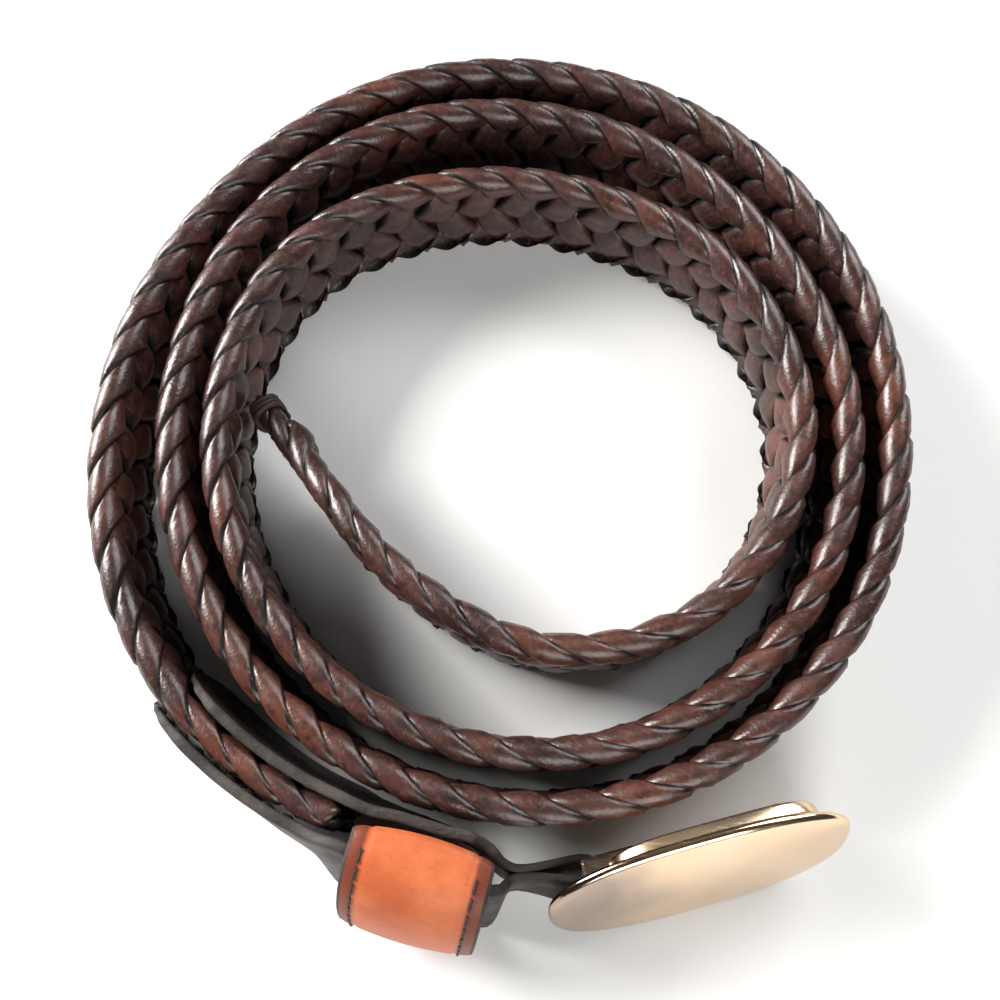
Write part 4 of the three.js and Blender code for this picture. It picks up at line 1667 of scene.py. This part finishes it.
@dataclass
class PlaqueBuckle:
    """The domed oval plaque with its back plate, bosses, ears, bar and prong."""

    end: FoldedEnd
    plate: GoldPlate
    fittings: GoldPlate
    length: float = 47.0
    outline_power: float = 2.5
    outline_sides: int = 96
    round_sides: int = 28
    top_rim: float = 0.06
    under_rim: float = 0.04
    bar_inset: float = 7.0
    bar_sides: int = 16
    bar_steps: int = 8
    bar_past_ears: float = 0.15
    back_length: float = 33.0
    back_height: float = 22.5
    back_thickness: float = 2.2
    back_power: float = 4.0
    back_rim: float = 0.45
    back_gap: float = 0.8
    boss_diameter: float = 5.0
    boss_apart: float = 13.0
    boss_rim: float = 0.5
    boss_sunk: float = 0.6
    ear_thickness: float = 1.5
    ear_reach: float = 5.5
    ear_corner: float = 0.7
    ear_corner_steps: int = 4
    ear_sunk: float = 0.1
    prong_diameter: float = 3.0
    prong_length: float = 6.0
    prong_aside: float = 12.0
    sharp_angle: float = 50.0
    flat_shares: tuple[float, float] = (0.02, 0.6)
    top_shares: tuple[float, ...] = (
        0.01, 0.12, 0.25, 0.38, 0.5, 0.6, 0.7, 0.78, 0.85, 0.9, 0.94, 0.965, 0.982, 0.993, 1.0,
    )
    under_shares: tuple[float, ...] = (0.996, 0.985, 0.96, 0.85, 0.65, 0.4, 0.15, 0.01)
    ear_layers: tuple[tuple[float, float], ...] = (
        (0.85, -0.5), (0.97, -0.45), (1.0, -0.3), (1.0, 0.3), (0.97, 0.45), (0.85, 0.5),
    )
    prong_neck: tuple[tuple[float, float], ...] = ((1.35, 0.2), (1.35, -0.3), (0.8, -0.6), (0.72, -1.2))
    prong_head: tuple[tuple[float, float], ...] = (
        (0.72, 2.2), (0.9, 1.8), (1.0, 1.1), (0.93, 0.5), (0.6, 0.1), (0.05, 0.0),
    )

    def __post_init__(self) -> None:
        """Works out the buckle's frame and its inner places."""
        end = self.end
        self.origin = end.place(end.bar_along, 0, end.bar_rise)
        self.run = np.array([*end.plaque_run, 0.0])
        self.up = end.leaning_up(end.plaque_lean, end.plaque_out)
        self.front = np.cross(self.run, self.up)
        self.bar_x = self.bar_inset - self.length / 2
        self.back_top = -end.plaque_thickness / 2 - self.back_gap
        self.back_bottom = self.back_top - self.back_thickness
        self.back_left = self.bar_x + end.bar_radius + 2 * end.fit_gap + end.tab_thickness
        self.back_middle = self.back_left + self.back_length / 2
        self.ear_inner = end.tab_height / 2 + 2 * end.fit_gap

    def placed(self, local: np.ndarray) -> np.ndarray:
        """Points of the buckle's own frame, round the plaque's middle, in the coil's frame.

        Args:
            local: The points, as (along, up, forward).

        Returns:
            Them, in the coil's frame.
        """
        moved = local + np.array([-self.bar_x, 0, self.end.bar_behind])
        along, up, forward = moved[..., :1], moved[..., 1:2], moved[..., 2:]
        return self.origin + along * self.run + up * self.up + forward * self.front

    def oval(self, length: float, height: float, power: float, sides: int) -> np.ndarray:
        """A superellipse.

        Args:
            length: Its size along.
            height: Its size up.
            power: Its squareness.
            sides: How many sides it has.

        Returns:
            Its (x, y) points.
        """
        along, up = superellipse(2 * np.pi * np.arange(sides) / sides, power)
        return np.column_stack([length / 2 * along, height / 2 * up])

    def stack(
        self, outline: np.ndarray, rows: Sequence[tuple[float, float]], centre: np.ndarray
    ) -> np.ndarray:
        """Rings of an outline in layers.

        Args:
            outline: Its (x, y) points round its middle.
            rows: Each ring's share of the outline's size and its z.
            centre: The rings' middle.

        Returns:
            The rings.
        """
        rings = []
        for share, z in rows:
            rings.append(np.column_stack([centre + outline * share, np.full(len(outline), z)]))
        return np.array(rings)

    def slab(
        self, outline: np.ndarray, low: float, high: float, round_off: float, centre: np.ndarray
    ) -> np.ndarray:
        """Rings of a plate with rounded rims.

        Args:
            outline: Its (x, y) points round its middle.
            low: Its lower z.
            high: Its upper z.
            round_off: The rims' radius.
            centre: Its middle.

        Returns:
            The rings, from the middle of the top to the middle of the bottom.
        """
        rim = round_off / float(np.abs(outline).max())
        flat = (*self.flat_shares, 1 - rim)
        rows = [(share, high) for share in flat]
        for angle in QUARTER_TURN:
            turn = math.radians(angle)
            rows.append((1 - rim + rim * math.sin(turn), high - round_off + round_off * math.cos(turn)))
        for angle in reversed(QUARTER_TURN):
            turn = math.radians(angle)
            rows.append((1 - rim + rim * math.sin(turn), low + round_off - round_off * math.cos(turn)))
        rows += [(share, low) for share in reversed(flat)]
        return self.stack(outline, rows, centre)

    def plaque_rows(self, shares: Sequence[float], rim: float, half: float) -> list[tuple[float, float]]:
        """The layers of one side of the plaque.

        Args:
            shares: The rings' shares of its size.
            rim: The share of its size that its rolled rim takes.
            half: Half its thickness, below nothing for its back.

        Returns:
            Each ring's share and its z.
        """
        rows = []
        for share in shares:
            edge = max(0.0, (share - (1 - rim)) / rim)
            flat = half * math.sqrt(max(0.0, 1 - edge**2))
            rows.append((share, flat - self.end.plaque_dome * share**2))
        return rows

    def build_plaque(self) -> bpy.types.Object:
        """Makes the domed plate with its rolled rim.

        Returns:
            The piece.
        """
        half = self.end.plaque_thickness / 2
        rows = self.plaque_rows(self.top_shares, self.top_rim, half)
        rows += self.plaque_rows(self.under_shares, self.under_rim, -half)
        outline = self.oval(self.length, self.end.plaque_height, self.outline_power, self.outline_sides)
        maker = PieceMaker()
        maker.skin(self.placed(self.stack(outline, rows, np.zeros(2))))
        piece = maker.make("plaque", self.end.route.middle, [self.plate.material()])
        self.dress(piece)
        return piece

    def add_back_plate(self, maker: PieceMaker) -> None:
        """Adds the plate behind the plaque and the two bosses that hold them together.

        Args:
            maker: The piece that gets them.
        """
        outline = self.oval(self.back_length, self.back_height, self.back_power, self.outline_sides)
        centre = np.array([self.back_middle, 0.0])
        plate = self.slab(outline, self.back_bottom, self.back_top, self.back_rim, centre)
        maker.skin(self.placed(plate))
        outline = self.oval(self.boss_diameter, self.boss_diameter, 2, self.round_sides)
        low = self.back_bottom - self.end.plaque_dome + self.end.fit_gap
        for side in (-1, 1):
            middle = np.array([self.back_middle + side * self.boss_apart / 2, 0.0])
            boss = self.slab(outline, low, self.back_top + self.boss_sunk, self.boss_rim, middle)
            maker.skin(self.placed(boss))

    def add_ears(self, maker: PieceMaker) -> None:
        """Adds the two ears and the bar between them.

        Args:
            maker: The piece that gets them.
        """
        end = self.end
        left = self.bar_x - end.bar_radius
        length = self.back_left - self.bar_x + end.bar_radius + self.ear_reach
        low = -end.bar_behind - end.bar_radius
        top = self.back_top - self.ear_sunk
        outline = rounded_outline(length, top - low, self.ear_corner, self.ear_corner_steps)
        for side in (-1, 1):
            middle = side * (self.ear_inner + self.ear_thickness / 2)
            rings = []
            for share, y in self.ear_layers:
                rings.append(np.column_stack([
                    left + length / 2 + outline[:, 0] * share,
                    np.full(len(outline), middle + y * self.ear_thickness),
                    (top + low) / 2 + outline[:, 1] * share,
                ]))
            maker.skin(self.placed(np.array(rings)))
        half_bar = self.ear_inner + self.ear_thickness + self.bar_past_ears
        across = np.linspace(-half_bar, half_bar, self.bar_steps + 1)
        path = np.column_stack([
            np.full(len(across), self.bar_x), across, np.full(len(across), -end.bar_behind)
        ])
        maker.tube(self.placed(path), end.bar_radius, self.bar_sides)

    def add_prong(self, maker: PieceMaker) -> None:
        """Adds the round prong with its neck.

        Args:
            maker: The piece that gets it.
        """
        outline = self.oval(self.prong_diameter, self.prong_diameter, 2, self.round_sides)
        centre = np.array([self.back_middle + self.prong_aside, 0.0])
        tip = self.back_top - self.end.fit_gap - self.prong_length
        rows = [(share, self.back_bottom + z) for share, z in self.prong_neck]
        rows += [(share, tip + z) for share, z in self.prong_head]
        maker.skin(self.placed(self.stack(outline, rows, centre)))

    def build_fittings(self) -> bpy.types.Object:
        """Makes the back plate, bosses, ears, bar and prong.

        Returns:
            The piece.
        """
        maker = PieceMaker()
        self.add_back_plate(maker)
        self.add_ears(maker)
        self.add_prong(maker)
        materials = [self.fittings.material()]
        piece = maker.make("buckle_fittings", self.end.route.middle, materials, self.sharp_angle)
        self.dress(piece)
        return piece

    def dress(self, piece: bpy.types.Object) -> None:
        """Joins a piece of the buckle to the CAD frame.

        Args:
            piece: The piece.
        """
        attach(piece, Body.BUCKLE.value)
        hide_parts("buckle")


@dataclass(frozen=True)
class Softbox:
    """A square soft light that faces the belt: its place and side in metres, its watts and its tint."""

    name: str
    place: tuple[float, float, float]
    size: float
    power: float
    tint: Colour

    def hang(self) -> None:
        """Hangs the light."""
        data = bpy.data.lights.new(self.name, "AREA")
        data.shape = "SQUARE"
        data.size = self.size
        data.energy = self.power
        data.color = self.tint
        lamp = bpy.data.objects.new(self.name, data)
        lamp.location = self.place
        lamp.rotation_mode = "QUATERNION"
        lamp.rotation_quaternion = (-Vector(self.place)).to_track_quat("-Z", "Y")
        bpy.context.scene.collection.objects.link(lamp)


@dataclass
class Studio:
    """The floor, the lights and the camera."""

    camera_place: tuple[float, float, float] = (-0.00023, -0.04587, 0.1650)
    camera_tilt: float = 15.0
    focal_share: float = 0.960
    sensor: float = 36.0
    nearest: float = 0.01
    farthest: float = 10.0
    floor_half: float = 1.6
    surround: float = 0.055
    lights: tuple[Softbox, ...] = (
        Softbox("key_softbox", (-0.56, 0.27, 0.33), 0.34, 15.0, (1.0, 0.985, 0.96)),
        Softbox("far_softbox", (0.40, 0.42, 0.42), 0.45, 5.0, (1.0, 1.0, 1.0)),
        Softbox("front_softbox", (0.12, -0.55, 0.38), 0.45, 4.2, (1.0, 0.99, 0.97)),
    )

    def build_floor(self) -> None:
        """Makes the pale floor."""
        half = self.floor_half
        mesh = bpy.data.meshes.new("studio_floor")
        corners = [(-half, -half, 0), (half, -half, 0), (half, half, 0), (-half, half, 0)]
        mesh.from_pydata(corners, [], [(0, 1, 2, 3)])
        mesh.materials.append(StudioSurface("pale_floor").material())
        floor = bpy.data.objects.new("studio_floor", mesh)
        bpy.context.scene.collection.objects.link(floor)

    def build_lights(self) -> None:
        """Hangs a key light at the left and two weaker ones, in a dim white surround."""
        for light in self.lights:
            light.hang()
        world = bpy.data.worlds.new("studio")
        world.use_nodes = True
        surround = world.node_tree.nodes["Background"]
        surround.inputs["Color"].default_value = (1.0, 1.0, 1.0, 1)
        surround.inputs["Strength"].default_value = self.surround
        bpy.context.scene.world = world

    def build_camera(self) -> None:
        """Makes the camera at the photograph's angle."""
        data = bpy.data.cameras.new("photo_camera")
        data.sensor_width = self.sensor
        data.lens = self.sensor * self.focal_share
        data.clip_start = self.nearest
        data.clip_end = self.farthest
        camera = bpy.data.objects.new("photo_camera", data)
        camera.location = self.camera_place
        camera.rotation_euler = (math.radians(self.camera_tilt), 0, 0)
        bpy.context.scene.collection.objects.link(camera)
        bpy.context.scene.camera = camera


def main() -> None:
    """Builds the studio and every piece of the belt, in order."""
    logging.basicConfig(level=logging.INFO, format="%(name)s: %(message)s")
    bpy.context.scene.view_settings.view_transform = "Standard"
    studio = Studio()
    studio.build_camera()
    studio.build_floor()
    studio.build_lights()
    route = CoilRoute()
    end = FoldedEnd(route)
    # Near-black, matte strip leather: painted shade in the gaps between the plait's strands.
    gap_shade = StrapLeather(
        "painted_gap_shade", (0.012, 0.008, 0.007), (0.006, 0.004, 0.004), roughness=0.8, coat=0
    )
    chape_face = StrapLeather(
        "chape_face", (0.024, 0.015, 0.014), (0.011, 0.007, 0.007), roughness=0.50, specular=0.18
    )
    cut_edge = StrapLeather(
        "cut_edge", (0.060, 0.049, 0.044), (0.020, 0.017, 0.015), roughness=0.66, layer_scale=9.0, coat=0
    )
    keeper_edge = StrapLeather(
        "keeper_edge", (0.058, 0.036, 0.028), (0.022, 0.015, 0.012), roughness=0.66, layer_scale=9.0, coat=0
    )
    keeper_tan = KeeperLeather("keeper_tan", end.keeper_length)
    soft_gold = GoldPlate("soft_gold", (0.76, 0.58, 0.40), (0.62, 0.44, 0.28), roughness=0.24)
    buckle = PlaqueBuckle(end, GoldPlate("polished_gold"), soft_gold)
    builders: tuple[Callable[[], bpy.types.Object], ...] = (
        BraidedBand(route, PlaitLeather("plait_leather"), gap_shade).build,
        TipBinding(route, WaxedThread("winding_thread")).build,
        Chape(end, chape_face, cut_edge, WaxedThread("stitching_thread")).build,
        Keeper(end, keeper_tan, keeper_edge, WaxedThread("keeper_thread")).build,
        buckle.build_plaque,
        buckle.build_fittings,
    )
    for build in builders:
        piece = build()
        log.info("%s: %d faces", piece.name, len(piece.data.polygons))


if __name__ == "__main__":
    main()
